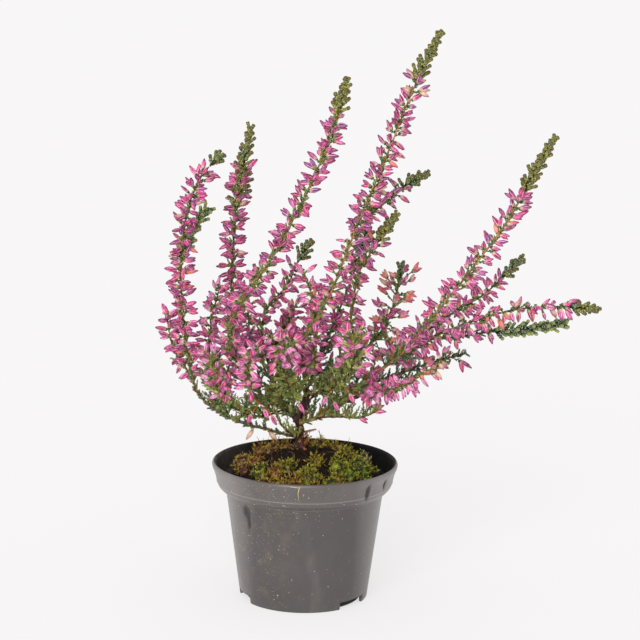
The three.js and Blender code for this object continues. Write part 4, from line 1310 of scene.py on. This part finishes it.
    def growing_twigs(self, start, end, slot, taper):
        """Stubby growing twigs all round the stem and one at its end, shorter towards the end by a taper."""
        rng, tone = self.rng, self.shoot["fresh"]
        for n, share, distance in spread(start, end, CLUB_SPACING, 3):
            lean = math.radians(50 * (1 - taper * share) + rng.uniform(-8, 8))
            way = leaning(self.curve.heading(distance), spiral(n, rng), lean)
            size = 1.4 * (1 - taper * share) * rng.uniform(0.75, 1.15)
            roll, width = rng.uniform(*ANY_TURN), rng.uniform(0.95, 1.15)
            shade = np.clip(rng.normal(tone, 0.2), 0, 1)
            self.clubs.put(self.curve.at(distance), way, roll, width, size, shade, slot)
        last = self.curve.heading(end)
        self.clubs.put(self.curve.at(end) - last * CLUB_LENGTH * 0.9, last, 0, 1, 0.9, tone, slot, form=0)

    def single_buds(self, distances, reach, slot, shades):
        """Single buds that hang below the stem or in front of it, each on a thin twig of a given reach."""
        for number, distance in enumerate(distances):
            start = self.curve.at(distance)
            side = (-1) ** number * 0.8
            way = unit(np.array([side, -0.1 - 0.2 * reach, -self.rng.uniform(0.5, 0.8)]))
            middle = start + way * 0.5 * reach + UP * 0.2
            self.shape.tube([start, middle, start + way * reach], (0.25, 0.22, 0.2), 4, DRY_LEAF_SLOT, 0.8)
            self.buds.put(start + way * reach, self.hang(way, 0.4), 1, 1.1 * BUD_RADIUS, 1.1 * BUD_LENGTH,
                          shades, slot, form=1)

    def hangings(self):
        """The single fresh buds and the forks of a shoot, on the piece that holds its end."""
        self.single_buds(self.shoot["pendant"], 7, BUD_SLOT, (0.5, 0.9))
        for distance, offset in self.shoot["forks"]:
            start = self.curve.at(distance)
            twig = Curve([start, start + 0.5 * np.array(offset) - UP, start + np.array(offset)])
            fork = Growth(self.shape, twig, self.shoot, self.rng)
            fork.stem(0, twig.length)
            fork.spike(2, twig.length)
            fork.stamp()

    def fill_leaves(self, start, end):
        """The leafy stretch, or a shoot's stubby twigs."""
        shoot = self.shoot
        leaves_end = start + shoot["late"] if shoot["stubby"] else end
        if leaves_end > start:
            self.leaves(min(start + GAP, LEAFLESS * shoot["bare"]), leaves_end)
        if shoot["stubby"]:
            self.growing_twigs(leaves_end + GAP, end, LEAF_SLOT, 0.3)
        self.single_buds(shoot["withered"], 1.6, DRY_BUD_SLOT, (0.1, 0.3))
        if end == self.curve.length:
            self.hangings()

    def fill_buds(self, start, end):
        """The spike, with leaves below it where the shoot has no leafy stretch."""
        shoot = self.shoot
        if shoot["bare"] and not shoot["leafy"]:
            self.leaves(LEAFLESS * shoot["bare"], start)
        self.spike(start + GAP, end)
        if shoot["greening"]:
            self.growing_twigs(end - shoot["greening"], end, TIP_SLOT, 0)
        self.hangings()

    def fill_tip(self, start, end):
        self.growing_twigs(start + GAP, end - 0.5, TIP_SLOT, 0.5)


# How each zone of a shoot is filled, and the body slot of its piece.
ZONES = {"leaves": (Growth.fill_leaves, "leaves"), "buds": (Growth.fill_buds, "buds"),
         "tip": (Growth.fill_tip, "tips")}


def zone_ends(shoot, curve):
    """Where a shoot's leaves, buds and tip start and end along its curve."""
    start = shoot["bare"] or CAD_STEM_RADIUS + GAP
    leaves_end = min(start + shoot["leafy"], curve.length)
    buds_end = max(curve.length - shoot["green"], leaves_end)
    return {"leaves": (start, leaves_end), "buds": (leaves_end, buds_end), "tip": (buds_end, curve.length)}


def make_shoot(shoot_name, shoot):
    """A piece for each zone of a shoot that is long enough to show."""
    curve = Curve(shoot["path"])
    for zone, (start, end) in zone_ends(shoot, curve).items():
        if end - start > GAP:
            fill, body_slot = ZONES[zone]
            name = f"{shoot_name}_{zone}"
            growth = Growth(Shape(), curve, shoot, seeded(name))
            growth.stem(start + GAP, end)
            fill(growth, start, end)
            growth.stamp()
            growth.shape.build(f"{name}_dressed", SHOOT_LOOKS, body_slot, [name])


# ---------------------------------------------------------------- trunk

def add_gnarled(shape, path, from_radius, to_radius, sides, tone):
    """A thick old stem with ridged, twisting bark."""
    curve = Curve(path)
    distances = np.linspace(0, curve.length, int(curve.length / 0.5))
    turns = even_turns(sides)
    twist = 0.12 * distances[:, None]
    ridges = 1 + 0.14 * np.sin(3 * turns + twist * 2) + 0.08 * np.sin(7 * turns - 3 * twist)
    knots = 1 + 0.12 * np.sin(1.1 * distances + 1)[:, None]
    radii = np.interp(distances, [0, curve.length], [from_radius, to_radius])[:, None] * ridges * knots
    # Painted shade: the bark is darker in its furrows, and also where the stem narrows between its knots.
    shades = np.clip(tone + 0.5 * (1 - ridges * knots), 0, 1)
    shape.tube(curve.at(distances), radii, sides, BARK_SLOT, shades)


def add_dead_twigs(trunk):
    """Dead leafy twigs round the trunk's foot and on it."""
    rng = seeded("dead twigs")
    twigs = Placements(SPRIGS, rng)
    for n in range(DEAD_TWIGS):
        around = level_way(n * GOLDEN_ANGLE)
        foot = (*TRUNK[1][:2], 54.5 + 12 * (n / DEAD_TWIGS) ** 2)
        way = unit(around + UP * rng.uniform(0.1, 1.2))
        twigs.put(foot + around * 0.8, way, 0, (0.9, 1.3), (0.4, 1.1), (0, 0.9), DRY_LEAF_SLOT)
    twigs.stamp(trunk)


def make_trunk():
    """The trunk and its limbs, the bare twig of each shoot, and the leaves and dead twigs on them."""
    trunk = Shape()
    add_gnarled(trunk, TRUNK, TRUNK_RADIUS, 0.7 * TRUNK_RADIUS, 14, 0.85)
    for number, (path, tone, mixed) in enumerate(LIMBS):
        add_gnarled(trunk, path, 1.2 * LIMB_RADIUS, 0.8 * LIMB_RADIUS, 10, tone)
        leafy = dict(PLAIN, full=2.2, mixed=mixed, droop=0.4, bushy=0.5, rise=0.7, blush=(0.2, 1.1), flush=79)
        limb = Growth(trunk, Curve(path), leafy, seeded(f"limb {number}"))
        limb.leaves(0, limb.curve.length)
        limb.stamp()
    for name, shoot in SHOOTS.items():
        if shoot["bare"]:
            Growth(trunk, Curve(shoot["path"]), shoot, seeded(name)).stem(0, shoot["bare"])
    add_dead_twigs(trunk)
    trunk.build("trunk_dressed", SHOOT_LOOKS, "bark", ["trunk"])


# ---------------------------------------------------------------- stage, light and camera

IMAGE_PIXELS = 640
FOCAL_PIXELS = 2014.1
CAMERA_PLACE = (4.87, -735, 247.28)  # millimetres from the pot's axis and the ground
CAMERA_PITCH = 10.886  # degrees below the horizon
CAMERA_ROLL = 0.797
FLOOR_SIZE = 24  # metres


def make_camera():
    data = bpy.data.cameras.new("camera")
    data.sensor_width = 36
    data.lens = data.sensor_width * FOCAL_PIXELS / IMAGE_PIXELS
    data.clip_end = 100
    camera = linked("camera", data)
    tilt = Matrix.Rotation(math.radians(90 - CAMERA_PITCH), 4, "X")
    roll = Matrix.Rotation(math.radians(CAMERA_ROLL), 4, "Z")
    place = Matrix.Translation(Vector(AXIS + MM * np.array(CAMERA_PLACE)))
    camera.matrix_world = place @ tilt @ roll
    bpy.context.scene.camera = camera


def make_floor():
    far = FLOOR_SIZE / 2
    corners = [(-far, -far, 0), (far, -far, 0), (far, far, 0), (-far, far, 0)]
    floor = plain_object("floor", corners, [(0, 1, 2, 3)])
    look = Look("floor", 1, 0, Base_Color=(0.31, 0.307, 0.307, 1), Emission_Color=(1, 0.985, 0.985, 1),
                Emission_Strength=0.655)
    floor.data.materials.append(look.material)


def make_painted_shadow():
    """A painted shadow: a dull disc inside the foot ring, where the floor's own light shouldn't show."""
    disc = Shape()
    radius = FOOT_RADIUS - 2.6 * WALL
    disc.loft(turned([(radius, 0.05), (radius, 0.1)], even_turns(48)))
    look = Look("shade", 1, 0, Base_Color=srgb(90, 88, 88))
    disc.mesh("painted_shadow_disc", [look.material])


def make_light():
    world = bpy.data.worlds.new("studio")
    world.use_nodes = True
    background = world.node_tree.nodes["Background"]
    background.inputs["Color"].default_value = (1, 0.995, 1, 1)
    background.inputs["Strength"].default_value = 0.68
    bpy.context.scene.world = world
    key = bpy.data.lights.new("key", "SUN")
    key.energy = 1.95
    key.angle = math.radians(45)
    lamp = linked("key", key)
    lamp.rotation_euler = Vector((0.25, 1, -0.45)).to_track_quat("-Z", "Y").to_euler()
    bpy.context.scene.view_settings.view_transform = "Standard"


make_camera()
make_light()
make_floor()
make_painted_shadow()
make_pot()
make_litter()
make_root_ball()
moss = moss_look()
for moss_name, clumps in MOSS_CUSHIONS.items():
    make_moss(moss_name, clumps, moss)
make_trunk()
for shoot_name, shoot in SHOOTS.items():
    make_shoot(shoot_name, shoot)
